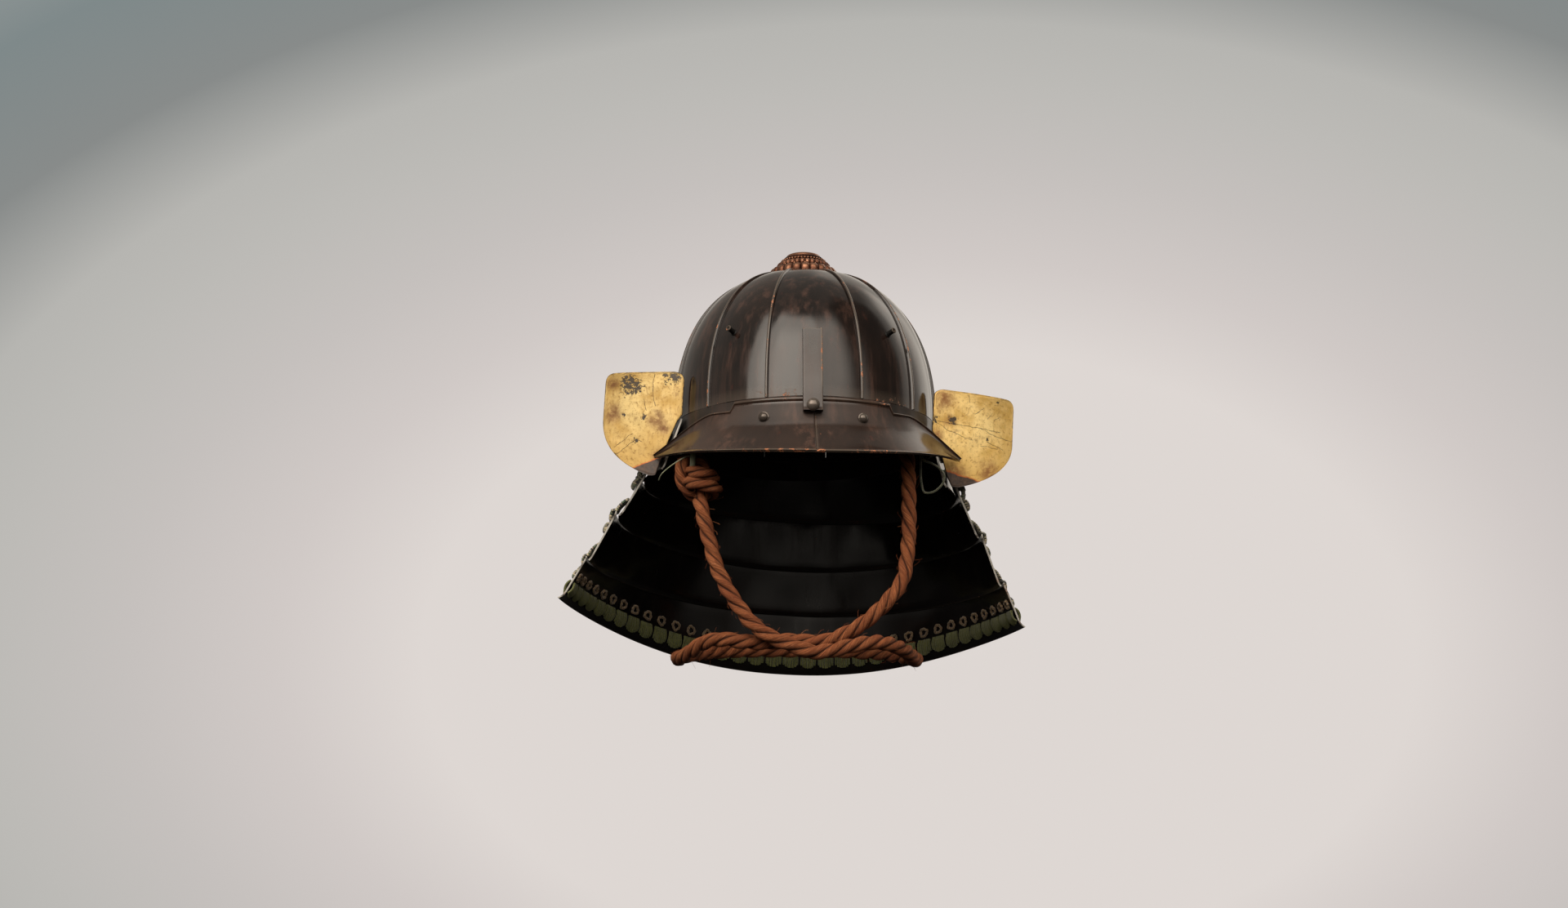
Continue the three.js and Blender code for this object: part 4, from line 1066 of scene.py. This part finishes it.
def socket_grid(inset):
    """The ring carried up the socket. The foot flares forward as a lip, and the top is ragged."""
    x, y = socket_ring(inset)
    length = SOCKET_TOP - SOCKET_BOTTOM
    ragged = 0.45 * np.sin(1.9 * x) + 0.35 * np.sin(4.7 * x + 1) - 0.5
    z = socket_rise * (length + ragged * smooth(socket_rise, 0.97, 1.0))
    y = y - 2.0 * smooth(z, 3.6, 0.3) * smooth(y, 3.0, 1.0)
    c, s = math.cos(-LEAN), math.sin(-LEAN)
    return xyz(SOCKET_X + x, SOCKET_FRONT + y * c - z * s, SOCKET_BOTTOM + y * s + z * c)


ring_x, ring_y = socket_ring(0.0)
corner = smooth(ring_x, 6.4, 8.2) * smooth(ring_y, 2.6, 0.6)
corner_wear = corner * (0.6 + 1.6 * smooth(socket_rise, 0.25, 0.4)) + 0.8 * smooth(socket_rise, 0.975, 1.0)
socket = wall(socket_grid(0.0), socket_grid(SOCKET_WALL), ring=True, wear=corner_wear)
piece("crest_socket_tube", socket, socket_lacquer, ["crest_socket"], edge=0.2, sharp=50)
socket_way = np.array([0, -math.cos(LEAN), math.sin(LEAN)])
rivet_foot = np.array([SOCKET_X, SOCKET_FRONT + 5 * math.sin(LEAN) - 0.3, SOCKET_BOTTOM + 5])
centre_head = shape(stood(turned(dome(CENTRE_RIVET_RADIUS)), rivet_foot, socket_way), wear=0.3)
piece("socket_rivet", centre_head, rivet_iron, ["rivet_centre"])
print("socket", counts["crest_socket_tube"], "quads")

# %% [markdown]
# ## Crown ornament
# The tehen kanamono is a stack of copper rings round the hole at the top. Two are chased into petals,
# with ropes of small beads between them, and a plain domed collar closes the stack. A petal ring is
# a lathe profile whose radius is pulled in between petals, in proportion to how far out it stands.


# %% Crown rings
def petal_ring(radius, low, high, inner, petals, start):
    """A quarter-round profile from the foot to the inner edge. The radius and height lose up to a
    petal's depth times 1 - |cos(petals turn / 2)|^0.55, which gives round lobes and sharp grooves."""
    turn = circle(petals * 12)[:, None]
    t = np.linspace(0, 1, 15)[None, :]
    lobe = np.abs(np.cos(petals * (turn - start) / 2)) ** 0.55
    out = np.cos(t * math.pi / 2) ** 0.62
    rise = np.sin(t * math.pi / 2) ** 0.75
    depth = 1.9 * (1 - lobe) * (0.25 + 0.75 * out)

    def rows(inset):
        r = inner + (radius - inner) * out - depth - inset
        z = low + (high - low) * rise - 0.35 * depth - inset * 0.5 * t
        return xyz(r * np.sin(turn), -r * np.cos(turn), z)

    return wall(rows(0.0), rows(1.3), ring=True, raised=lobe * (0.55 + 0.45 * np.sin(t * math.pi)))


def bead_ring(radius, z, size, count):
    """Small beads in a circle: one sphere grid, copied round by turning its place."""
    polar = np.linspace(0.25, math.pi - 0.25, 7)
    ball = turned(np.stack([size * np.sin(polar), size * np.cos(polar)], -1), 10)
    turn = circle(count)[:, None, None]
    x, y = ball[..., 0], ball[..., 1] - radius
    place = xyz(x * np.cos(turn) - y * np.sin(turn), x * np.sin(turn) + y * np.cos(turn), ball[..., 2] + z)
    return many(place, raised=0.95)


CROWN_RINGS = [
    # which, then radius, foot, top, inner radius, petals, start, then the beads' radius, z, size, count
    ("lower", (30.5, 140.2, 147.4, 20.5, 22, 0.0), (22.2, 148.0, 1.15, 44)),
    ("upper", (24.0, 148.2, 152.9, 15.0, 30, 0.1), (19.4, 153.6, 1.0, 42)),
]
for which, petals, beads in CROWN_RINGS:
    made = together(petal_ring(*petals), bead_ring(*beads))
    piece(f"crown_{which}_petals", made, aged_copper, [f"crown_petals_{which}"], sharp=70)

collar_arc = np.linspace(0, math.pi, 16)[1:]
collar_profile = [
    (7, 153.2), (18.6, 153.2), (19.2, 153.8), (18.9, 154.6), (17.4, 155.2), (17.0, 155.8),
    (17.4, 156.4), (16.6, 157.0), (15.9, 157.2),
    *zip(11.3 + 4.4 * np.cos(collar_arc), 157.2 + 3.0 * np.sin(collar_arc)), (7, 156.4),
]
collar_grid = turned(collar_profile, 96)
collar = shape(collar_grid, ring_u=True, raised=smooth(collar_grid[..., 2], 154, 159.5))
piece("crown_domed_collar", collar, aged_copper, ["crown_collar"], sharp=40)
print("crown", sum(count for name, count in counts.items() if name.startswith("crown_")), "quads")

# %% [markdown]
# ## Neck guard
# Four lames widen downwards, each hung outside the one above it. Seen from above, a lame's edge is a
# horseshoe: a superellipse open at the front. The lame is a straight ruled sheet between its two
# horseshoes at equal shares of their lengths, which is how a bent strip of plate lies.

# %% Lame surface
# half width, centre y, back, front, roundness, z, dip at the back
LAMES = [
    ((119.4, 0, 140.4, -56, 2.0, -9, 0), (137.4, 10, 150, -56, 2.1, -55, 0)),
    ((140.5, 6, 153, -41, 2.1, -51, 0), (158, -6, 158, -14, 2.1, -90, 9)),
    ((161, -8, 161.5, -14, 2.1, -86, 8), (182.5, -17, 166, 6, 2.15, -128, 11)),
    ((185.5, -18, 169.5, 7, 2.15, -124, 11), (210.4, -28, 174, 26, 2.2, -160, 33)),
]
LOWEST = len(LAMES) - 1
DIP_POWER, LAME_WALL = 3, 1.6
Edge = namedtuple("Edge", "curve share length")  # points, the share of the length at each, the length


def horseshoe(half_width, centre_y, back_y, front_y, roundness, z, dip):
    """x = w |sin|^(2/n), y = centre + depth |cos|^(2/n), over the angles that reach the front."""
    depth = back_y - centre_y
    forward = (centre_y - front_y) / depth
    span = math.pi / 2 + math.asin(signed_power(forward, roundness / 2))
    angle = np.linspace(-span, span, 1601)
    backward = signed_power(np.cos(angle), 2 / roundness)
    x = half_width * signed_power(np.sin(angle), 2 / roundness)
    curve = xyz(x, centre_y + depth * backward, z - dip * np.maximum(0, backward) ** DIP_POWER)
    run = run_along(curve)
    return Edge(curve, run / run[-1], run[-1])


lame_edges = [[horseshoe(*edge) for edge in pair] for pair in LAMES]


def along_edge(edge, along):
    """The point at this share of the edge's length."""
    return read_off(edge.curve, edge.share, along)


def lame_point(lame, along, down, out=0.0):
    """A point of a lame's outer face: lerp from its top edge to its foot, then out along the normal."""
    along, down, out = np.broadcast_arrays(np.asarray(along, float), down, out)
    top, foot = lame_edges[lame]

    def ruled(at):
        return along_edge(top, at) + (along_edge(foot, at) - along_edge(top, at)) * down[..., None]

    across = ruled(np.minimum(1, along + 0.004)) - ruled(np.maximum(0, along - 0.004))
    normal = unit(np.cross(across, along_edge(foot, along) - along_edge(top, along)))
    return ruled(along) + normal * out[..., None]


for lame, (top, foot) in enumerate(lame_edges):
    along = (0.5 - 0.5 * np.cos(np.linspace(0, math.pi, 151))) * 0.3 + np.linspace(0, 1, 151) * 0.7
    along = np.concatenate([[0, 0.0011], along[1:-1], [0.9989, 1]])[:, None]
    down = np.array([0, 0.01, 0.03, 0.08, 0.2, 0.35, 0.5, 0.65, 0.8, 0.9, 0.95, 0.975, 1])[None, :]
    turned_out = 0.9 * smooth(down, 0.92, 1.0) + 0.5 * smooth(down, 0.05, 0.0)
    if lame == LOWEST:
        turned_out = turned_out + 2.2 * smooth(down, 0.8, 1.0) ** 2
    out = turned_out + 0.35 * np.sin(along * 61 + lame) * np.sin(down * 4 + 2 * lame)
    ends = np.minimum(along, 1 - along)
    wear = 0.55 * np.maximum(smooth(down, 0.97, 1.0), smooth(down, 0.03, 0.0)) * smooth(ends, 0.5, 0.05)
    # The front ends count as fully rubbed and take the rim line: a painted highlight along each lame's front
    # edge, partly bare iron.
    wear = np.maximum(wear, smooth(ends, 0.006, 0.0))
    rim = smooth(ends, 0.0011, 0.0) * smooth(np.sin(37 * down + lame), -1.0, -0.3)
    outer, inner = (lame_point(lame, along, down, out - depth) for depth in (0, LAME_WALL))
    made = rolled(wall(outer, inner, wear=wear, rim=rim))
    name = f"lame_{lame + 1}"
    piece(f"lacquered_{name}", made, shaded_lame_lacquer, [f"neck_{name}"], edge=0.35)
    print(name, round(top.length), "to", round(foot.length), "mm long")

# %% [markdown]
# ## Turn-backs
# The front end of the top lame is folded outwards into a gilded plate. Its outline has one height
# and one foot for each place outwards from the fold, so columns between those two curves fill it.
# The real plates aren't flat: they bow a little, and the corners lean.

# %% Turn-backs
FOLD_X, FOLD_Y, TURNBACK_TOP, TURNBACK_CORNER = 108.5, -57.5, 32.0, 9.0
SWEEP_BACK = math.radians(22)
TURNBACK_WALL = 1.5


def bezier(points, t):
    """A cubic Bezier curve through the first and last of four points."""
    a, b, c, d = (np.asarray(p, float) for p in points)
    t = t[:, None]
    return (1 - t) ** 3 * a + 3 * (1 - t) ** 2 * t * b + 3 * (1 - t) * t**2 * c + t**3 * d


def turnback(side, outer_x, bottom_z):
    """Columns from the foot curve up to the head curve, bowed out of their plane."""
    width = (outer_x - FOLD_X) / math.cos(SWEEP_BACK)
    x = width * (0.5 - 0.5 * np.cos(np.linspace(0, math.pi, 71)))
    r = TURNBACK_CORNER
    t_in = np.sqrt(np.clip(x / r, 0, 1))
    head_in = (1 - t_in) ** 2 * (TURNBACK_TOP - r) + 2 * t_in * (1 - t_in) * (TURNBACK_TOP - 1)
    head_in = head_in + t_in**2 * TURNBACK_TOP
    t_out = 1 - np.sqrt(np.clip((width - x) / r, 0, 1))
    head = np.minimum(head_in, TURNBACK_TOP - r * t_out**2)
    corners = [(0, -6), (4, -12), (10.5, -28), (16, -44), (21, bottom_z)]
    ends = [(width, -9), (width, bottom_z + 26), (width - 19, bottom_z + 10), (27, bottom_z)]
    foot_line = np.concatenate([corners, bezier(ends, np.linspace(0, 1, 200))[::-1]])
    foot = np.interp(x, foot_line[:, 0], foot_line[:, 1])
    x, foot, head = x[:, None], foot[:, None], head[:, None]
    y = foot + (head - foot) * np.linspace(0, 1, 41)
    s, h = x / width, (y - bottom_z) / (TURNBACK_TOP - bottom_z)
    bow = 2.6 * np.sin(math.pi * s) * (0.4 + 0.6 * h) + 1.5 * (1 - np.sin(math.pi * h)) * s
    bow = bow + 0.35 * np.sin(7 * s + 3 * h + side) - 1.2 * smooth(s, 0.75, 1.0) * smooth(h, 0.6, 1.0)

    def face(depth):
        ly = -bow - depth
        lx = x * side
        c, n = math.cos(side * SWEEP_BACK), math.sin(side * SWEEP_BACK)
        return xyz(side * FOLD_X + lx * c - ly * n, FOLD_Y + lx * n + ly * c, y)

    near_edge = np.minimum(np.minimum(x, width - x), np.minimum(y - foot, head - y))
    rim = 0.35 * smooth(near_edge, 2.2, 0.0) + 0.10 * smooth(near_edge, 15.0, 0.0)
    leaf, behind = (xyz(x / 100, y / 100, z) for z in (rim, 1.0))
    grid = np.concatenate([face(TURNBACK_WALL), face(0.0)[:, ::-1]], axis=1)
    return shape(grid, leaf=np.concatenate([leaf, behind[:, ::-1]], axis=1))


# Painted light: the left plate is scaled to 0.68 and the right one to 1.08, for the light on each side.
left_leaf = gold_leaf(
    "gold leaf left", 0.68,
    blotches=[
        (0.49, 0.21, 0.17), (0.42, 0.19, 0.11), (0.53, 0.26, 0.10), (0.09, 0.27, 0.13), (0.17, 0.28, 0.05),
        (0.345, -0.08, 0.05), (0.41, -0.28, 0.04), (0.545, -0.055, 0.035), (0.60, -0.42, 0.05),
    ],
    stains=[
        (0.64, -0.04, 0.14), (0.23, -0.10, 0.13), (0.16, -0.18, 0.10), (0.19, -0.42, 0.10),
        (0.66, 0.22, 0.10),
    ],
    cracks=[
        [(0.44, -0.22), (0.54, -0.29), (0.61, -0.346)],
        [(0.35, -0.30), (0.40, -0.275), (0.50, -0.34), (0.56, -0.39)],
        [(0.66, -0.33), (0.61, -0.41), (0.53, -0.49)], [(0.27, 0.30), (0.28, 0.135), (0.24, 0.01)],
        [(0.36, 0.08), (0.33, -0.02)],
    ],
    flap=(-0.376, -0.39),
)
right_leaf = gold_leaf(
    "gold leaf right", 1.08,
    blotches=[(0.185, 0.06, 0.075), (0.54, -0.07, 0.03), (0.62, 0.28, 0.03), (0.02, 0.05, 0.06)],
    stains=[
        (0.16, 0.05, 0.09), (0.56, -0.36, 0.16), (0.22, -0.40, 0.20), (0.10, 0.24, 0.16), (0.05, -0.10, 0.10),
    ],
    cracks=[
        [(0.0, 0.035), (0.20, 0.028), (0.32, 0.029), (0.48, 0.016), (0.66, 0.014)],
        [(0.02, 0.025), (0.16, -0.043), (0.30, -0.076), (0.39, -0.09)],
        [(0.46, 0.015), (0.58, -0.02), (0.78, -0.05)], [(0.53, -0.093), (0.69, -0.142)],
        [(0.47, -0.136), (0.64, -0.143)], [(0.57, 0.176), (0.52, 0.113)], [(0.64, 0.147), (0.59, 0.11)],
        [(0.48, 0.207), (0.40, 0.135)], [(0.32, 0.30), (0.34, 0.236)], [(0.14, 0.09), (0.20, 0.05)],
    ],
    flap=(-0.377, -0.17),
)
for name, sign, outer_x, bottom_z, leaf_finish in (
    ("turnback_left", -1, 176.5, -60, left_leaf),
    ("turnback_right", 1, 182, -53, right_leaf),
):
    made = rolled(turnback(sign, outer_x, bottom_z))
    piece(f"gilded_{name}", made, leaf_finish, [name], edge=0.4, sharp=50)
print("turn-backs", counts["gilded_turnback_left"], "quads each")

# %% [markdown]
# ## Lacing
# Eleven columns of silk hang the lames. A ribbed double lace comes out of the lame above, crosses the
# top edge of the next one and goes in below it. Under that sits a round knot. Both are placed by the
# lame's own surface, in mm across and in shares down, so that they lie true on its curve.

# %% Laces and knots
COLUMNS, EDGE_INSET = 11, 0.03
LACE_HALF_WIDTH, LACE_HALF_THICK, LACE_OFF_MIDDLE, LACE_RIB = 4.0, 1.75, 4.3, 2.6
KNOT_SIZE = (5.4, 6.0, 4.4)  # half across, half down and height
KNOT_DOWN, TOP_KNOT_DOWN = 0.30, 0.34
PAD_POWER, WEAVE = 2.3, 3.4  # how square a knot's outline is, and the pitch of its weave


def column_at(index):
    """The share along a lame where a column hangs."""
    return EDGE_INSET + (1 - 2 * EDGE_INSET) * index / (COLUMNS - 1)


def lace_path(along, across, lame):
    """The middle of one lace: through points on the upper lame, over the lower one's top edge."""
    upper = along + across / lame_edges[lame][1].length
    lower = along + across / lame_edges[lame + 1][0].length
    above = [(0.62, 0.2), (0.70, 2.6), (0.80, 4.2), (0.89, 4.8)]
    below = [(-0.01, 2.9), (0.07, 2.9), (0.13, 1.6), (0.16, 0.2)]
    stops = [lame_point(lame, upper, down, out) for down, out in above]
    stops += [lame_point(lame + 1, lower, down, out) for down, out in below]
    return route(stops, 0.8)


def lace(along, across, lame):
    """A flat braid: an ellipse with one axis along the lame, carried down the path. Its thickness
    rises and falls a little as ribs, one for each turn of the braid."""
    path = lace_path(along, across, lame)
    beside = lace_path(along, across + 1, lame)
    beside = beside[np.linspace(0, len(beside) - 1, len(path)).round().astype(int)]
    down = unit(np.gradient(path, axis=0))
    side = unit(beside - path - down * np.sum((beside - path) * down, axis=1, keepdims=True))
    up = np.cross(side, down)
    around = circle(16)[None, :, None]
    run = np.linspace(0, length_of(path), len(path))
    rib = 1 + 0.10 * np.sin(2 * math.pi * run / LACE_RIB)[:, None, None]
    wide = LACE_HALF_WIDTH * side[:, None] * np.cos(around)
    thick = LACE_HALF_THICK * up[:, None] * np.sin(around)
    place = xyz(LACE_HALF_WIDTH * np.cos(around[..., 0]), run[:, None], 0.0)
    return shape(path[:, None] + rib * (wide + thick), grain=place)


def pad(lame, along, down, half_across, half_down, height, seed, rings=9, sides=28):
    """A round knot on a lame's outer face: a superellipse outline, and a height of
    H (1 - rho^2.6)^0.5 over a flat underside."""
    top, foot = lame_edges[lame]
    deep = np.linalg.norm(along_edge(foot, along) - along_edge(top, along))
    over = np.linspace(1, 0.03, rings)
    rho = np.concatenate([[0.03, 0.95], over])[:, None]
    up = np.concatenate([[0, 0], (1 - over**2.6) ** 0.5 * 0.8 + 0.2])[:, None]
    a = circle(sides)[None, :]
    wobble = 1 + 0.05 * np.sin(3 * a + seed) + 0.03 * np.sin(5 * a + 2 * seed)
    x = half_across * rho * wobble * signed_power(np.cos(a), 2 / PAD_POWER)
    y = half_down * rho * wobble * signed_power(np.sin(a), 2 / PAD_POWER)
    weave = np.sin(2 * math.pi * (x + y) / WEAVE + seed) * np.sin(2 * math.pi * (x - y) / WEAVE)
    out = 0.3 + height * up * (1 + 0.10 * weave)
    grid = lame_point(lame, along + x / foot.length, down + y / deep, out)
    return shape(grid, grain=xyz(x, y, seed))


for index in range(COLUMNS):
    along = column_at(index)
    shapes = []
    for lame in range(LOWEST):
        shapes += [lace(along, across, lame) for across in (-LACE_OFF_MIDDLE, LACE_OFF_MIDDLE)]
        shapes.append(pad(lame + 1, along, KNOT_DOWN, *KNOT_SIZE, seed=index * 1.7 + lame))
    shapes.append(pad(0, along, TOP_KNOT_DOWN, *KNOT_SIZE, seed=index * 2.3))
    at_edge = index in (0, COLUMNS - 1)
    silk, slot = (variegated_silk, "variegated_silk") if at_edge else (navy_silk, "navy_silk")
    name = f"lacing_{index + 1:02d}"
    piece(f"silk_{name}", rolled(together(*shapes)), silk, [name], sharp=80)
print("lacing", counts["silk_lacing_02"], "quads a column")

# %% [markdown]
# The lowest lame ends in two rows of stitches, inside and out. The upper row is of small rings or
# round knots, and the lower one of fans of green thread like scales. There are dozens, so each is
# light: a ring is one closed tube, and a fan is seven threads. All copies are computed at once.

# %% Stitch rows
STITCH_PITCH, EDGE_BORDER = 16.2, 6.5
FAN_HEIGHT, FAN_THREADS, FAN_STEPS, FAN_SIDES, FAN_HALF, THREAD_THICK = 14.0, 7, 9, 6, 6.3, 1.12
RING_RADIUS, RING_THICK, RING_STEPS, RING_SIDES = 3.5, 1.35, 42, 7
RING_AXIS_Z = -142.0  # half way down the lame at its front, where it doesn't dip
ABOVE_FANS, ROUNDS_ABOVE_FANS, ROUND_SIZE = 6.2, 6.4, (5.2, 5.2, 3.6)
low_top, low_foot = lame_edges[LOWEST]
stitch_count = int(low_foot.length // STITCH_PITCH)
stitch_along = (np.arange(stitch_count) + 0.5) / stitch_count
lame_deep = np.linalg.norm(along_edge(low_foot, stitch_along) - along_edge(low_top, stitch_along), axis=-1)
guard_axis = lame_point(LOWEST, 0.5, 0.5) * [0, 0, 1]  # on the middle line, half way down the lame


def on_low_lame(across, up, out, start):
    """Points near each stitch: across along the lame and up from its foot in mm, then off it."""
    extra = (1,) * (np.ndim(across) - 1)
    along = stitch_along.reshape(-1, *extra) + across / low_foot.length
    down = 1 - up / lame_deep.reshape(-1, *extra)
    return lame_point(LOWEST, np.clip(along, 0.001, 0.999), down, start + out)


def fans(face, start):
    """Seven threads side by side in each stitch, from a flat head to a round foot."""
    offset = np.linspace(-FAN_HALF, FAN_HALF, FAN_THREADS)[None, :, None]
    t = np.linspace(0, 1, FAN_STEPS)[None, None, :]
    seed = np.arange(stitch_count)[:, None, None]
    round_foot = FAN_HEIGHT * 0.5 * (1 - np.sqrt(1 - (offset / 7.9) ** 2))
    up = EDGE_BORDER + round_foot + (FAN_HEIGHT - round_foot - 0.5) * (1 - t)
    spread = offset * (0.86 + 0.14 * np.sin(math.pi * t * 0.7)) + 0.25 * np.sin(seed * 2.1 + offset)
    out = face * (0.5 + 2.3 * np.sin(math.pi * np.clip(t * 0.94 + 0.03, 0, 1)) ** 0.6)
    middles = on_low_lame(spread, up, out, start).reshape(-1, FAN_STEPS, 3)
    grids = swept(middles, THREAD_THICK, FAN_SIDES, unit(middles - guard_axis))
    around = np.arange(FAN_SIDES) * 1.1
    which = np.arange(len(middles))[:, None, None] * 0.37
    return many(grids, grain=xyz(around, t.reshape(1, -1, 1) * FAN_HEIGHT, which))


def rings(face, start):
    """One closed tube in each stitch: a ring with a slight three-sided wobble, pinched into seven
    knobs where its turns pull tight."""
    a = circle(RING_STEPS)[None, :]
    seed = np.arange(stitch_count)[:, None]
    r = RING_RADIUS * (1 + 0.10 * np.sin(3 * a + seed * 1.3) + 0.05 * np.sin(5 * a + seed))
    up = EDGE_BORDER + FAN_HEIGHT + ABOVE_FANS + r * np.sin(a)
    middles = on_low_lame(r * np.cos(a), up, face * (RING_THICK + 0.2), start)
    knobs = RING_THICK * (0.62 + 0.42 * np.abs(np.sin(3.5 * a + seed)))
    outward = unit(middles - [0, 0, RING_AXIS_Z])
    grids = swept(middles, knobs[..., None, None], RING_SIDES, outward, ring=True)
    around = np.arange(RING_SIDES) * 1.3
    return many(grids, ring_u=True, grain=xyz(around, a[..., None] * RING_RADIUS, seed[..., None] * 0.61))


for name, made, silk, slot in (
    ("fans_inside", fans(-1, -LAME_WALL), olive_silk, "green_braid"),
    ("fans_outside", fans(1, 0.0), olive_silk, "green_braid"),
    ("rings_inside", rings(-1, -LAME_WALL), beige_silk, "variegated_silk"),
):
    piece(name, rolled(made), silk, sharp=90)
rounds_down = 1 - (EDGE_BORDER + FAN_HEIGHT + ROUNDS_ABOVE_FANS) / lame_deep
rounds = [
    pad(LOWEST, along, down, *ROUND_SIZE, seed=n * 1.3, rings=6, sides=18)
    for n, (along, down) in enumerate(zip(stitch_along, rounds_down))
]
piece("rounds_outside", rolled(together(*rounds)), variegated_silk, sharp=90)
print(stitch_count, "stitches in each row")

# %% [markdown]
# ## Room and light
# Black lacquer has almost no colour of its own. What shows is the room in it, so the light is
# designed as reflections: a dim room with lit panels in it, that stand for a studio's softboxes. The
# ground below is dark for lighting, as armour under the helmet would be, so the guard's inside stays
# deep. The camera itself sees a backdrop with a painted pool of light, bright at one place and darker away
# from it.

# %% Room
world = bpy.data.worlds.new("studio")
bpy.context.scene.world = world
world.use_nodes = True
world.node_tree.nodes.clear()
studio = Graph(world.node_tree)
way = studio.step("ShaderNodeTexCoord").outputs["Generated"]
GLOW_RIGHT, GLOW_DOWN, GLOW_TALL = 0.0386, 0.0588, 1.6  # the painted pool of light on the backdrop, as parts of the way
BACKDROP = [  # how far off the patch, and the colour there
    (0.145, (0.730, 0.680, 0.652)), (0.187, (0.631, 0.584, 0.565)), (0.229, (0.558, 0.527, 0.509)),
    (0.270, (0.503, 0.491, 0.468)), (0.297, (0.468, 0.462, 0.440)), (0.336, (0.246, 0.258, 0.254)),
    (0.383, (0.212, 0.250, 0.254)), (0.550, (0.580, 0.570, 0.550)),
]


def facing(direction):
    """How far each way of looking points along a direction: 1 along it, 0 square to it."""
    return studio.vector("DOT_PRODUCT", way, tuple(direction))


axes = studio.parts(way)
ahead = studio.math("MULTIPLY", axes["Y"], -1.0)
bearing = studio.math("DEGREES", studio.math("ARCTAN2", axes["X"], ahead))
height = studio.math("DEGREES", studio.math("ARCSINE", axes["Z"]))


def panel(radiance, left, right, low, high):
    """A lit rectangle of the room. Bearings are 0 at the front and plus to the right, heights are 0
    at the horizon. Each side is (where it starts, where it is full), in degrees."""
    light = radiance
    for angle, (start, full) in ((bearing, left), (bearing, right), (height, low), (height, high)):
        light = studio.math("MULTIPLY", studio.span(angle, start, full), light)
    return light


DARK_PANEL = (0.75, (50, 62), (112, 102), (-30, -20), (75, 65))  # takes this share of the light away
LIT_PANELS = [
    (3.1, (-59, -57.5), (16, 0), (10.5, 12.5), (66, 58)),
    (1.5, (-50, -42), (-2, -20), (10.5, 14), (56, 42)),
    (2.2, (-2, 12), (58, 36), (9, 13), (66, 52)),
    (0.8, (116, 130), (156, 146), (-4, 4), (52, 40)),
    (0.35, (104, 116), (178, 166), (-12, -4), (60, 48)),
]
room = studio.span(height, -16, 8, 0.02, 0.30)
room = studio.math("MULTIPLY", room, studio.math("SUBTRACT", 1.0, panel(*DARK_PANEL)))
for lit_panel in LIT_PANELS:
    room = studio.math("ADD", room, panel(*lit_panel))
room = studio.math("ADD", room, studio.span(facing(-back), 0.90, 0.99, 0.0, 0.35))
off_side = studio.math("SUBTRACT", facing(right), GLOW_RIGHT)
off_up = studio.math("MULTIPLY", studio.math("ADD", facing(back.cross(right)), GLOW_DOWN), GLOW_TALL)
squares = (studio.math("MULTIPLY", off, off) for off in (off_side, off_up))
backdrop = studio.step("ShaderNodeValToRGB", {0: studio.math("SQRT", studio.math("ADD", *squares))})
for _ in range(len(BACKDROP) - 2):
    backdrop.color_ramp.elements.new(0.5)
for element, (stop, colour) in zip(backdrop.color_ramp.elements, BACKDROP):
    element.position = stop
    element.color = (*colour, 1)
seen = studio.step("ShaderNodeLightPath").outputs["Is Camera Ray"]
shown = studio.step("ShaderNodeBackground", {"Color": backdrop.outputs[0], "Strength": 1.0})
lit = studio.step("ShaderNodeBackground", {"Color": (1.0, 0.91, 0.80, 1), "Strength": room})
both = studio.step("ShaderNodeMixShader", {0: seen, 1: lit.outputs[0], 2: shown.outputs[0]})
studio.step("ShaderNodeOutputWorld", {"Surface": both.outputs[0]})
print("room with", len(LIT_PANELS), "lit panels")

# %% [markdown]
# The floor is a wide plain sheet, far below the helmet. It is only there to be seen under the horizon:
# it throws no light up and shows in no reflection, so the room's own dark ground does that part.

# %% Floor
floor_finish = Recipe("studio floor")
floor_colour = floor_finish.mix(floor_finish.noise(0.8, 3), (0.50, 0.535, 0.58), (0.53, 0.565, 0.61))
floor_finish.finish(floor_colour, 0.8)
FLOOR_Z, FLOOR_HALF = -2.6, 60.0
floor_mesh = bpy.data.meshes.new("studio_floor")
corners = [(x * FLOOR_HALF, y * FLOOR_HALF, FLOOR_Z) for x, y in ((-1, -1), (1, -1), (1, 1), (-1, 1))]
floor_mesh.from_pydata(corners, [], [(0, 1, 2, 3)])
floor_mesh.materials.append(floor_finish.material)
floor = bpy.data.objects.new("studio_floor", floor_mesh)
bpy.context.collection.objects.link(floor)
floor.visible_diffuse = False
floor.visible_glossy = False
print("floor at", FLOOR_Z, "m")

# %% [markdown]
# Panels in the room light everything softly from all sides. Silk, rope and gold need a direction too,
# so three square lamps add it: a small strong one at the front left and two large weak ones.

# %% Lamps
LAMP_TARGET = Vector((0, 0, -0.1))
LAMPS = [  # name, place and side in metres, watts
    ("front left key", (-1.2, -1.8, 1.6), 0.4, 32),
    ("high right fill", (1.3, -1.6, 1.9), 0.8, 14),
    ("low front fill", (-0.2, -2.6, 0.1), 1.0, 5),
]
for name, place, side, power in LAMPS:
    light = bpy.data.lights.new(name, "AREA")
    light.size = side
    light.energy = power
    lamp = bpy.data.objects.new(name, light)
    bpy.context.collection.objects.link(lamp)
    lamp.location = place
    lamp.rotation_mode = "QUATERNION"
    lamp.rotation_quaternion = (LAMP_TARGET - Vector(place)).to_track_quat("-Z", "Y")
    lamp.visible_glossy = False  # so that it leaves no patch of its own in the lacquer
bpy.context.scene.view_settings.view_transform = "Standard"
print("lights", len(LAMPS))

# %% [markdown]
# ## Quads
# The number of quads over all the pieces. The visual model has to stay inside the CAD model's box,
# give or take the pile of silk.

# %% Quads
print("quads", sum(counts.values()))
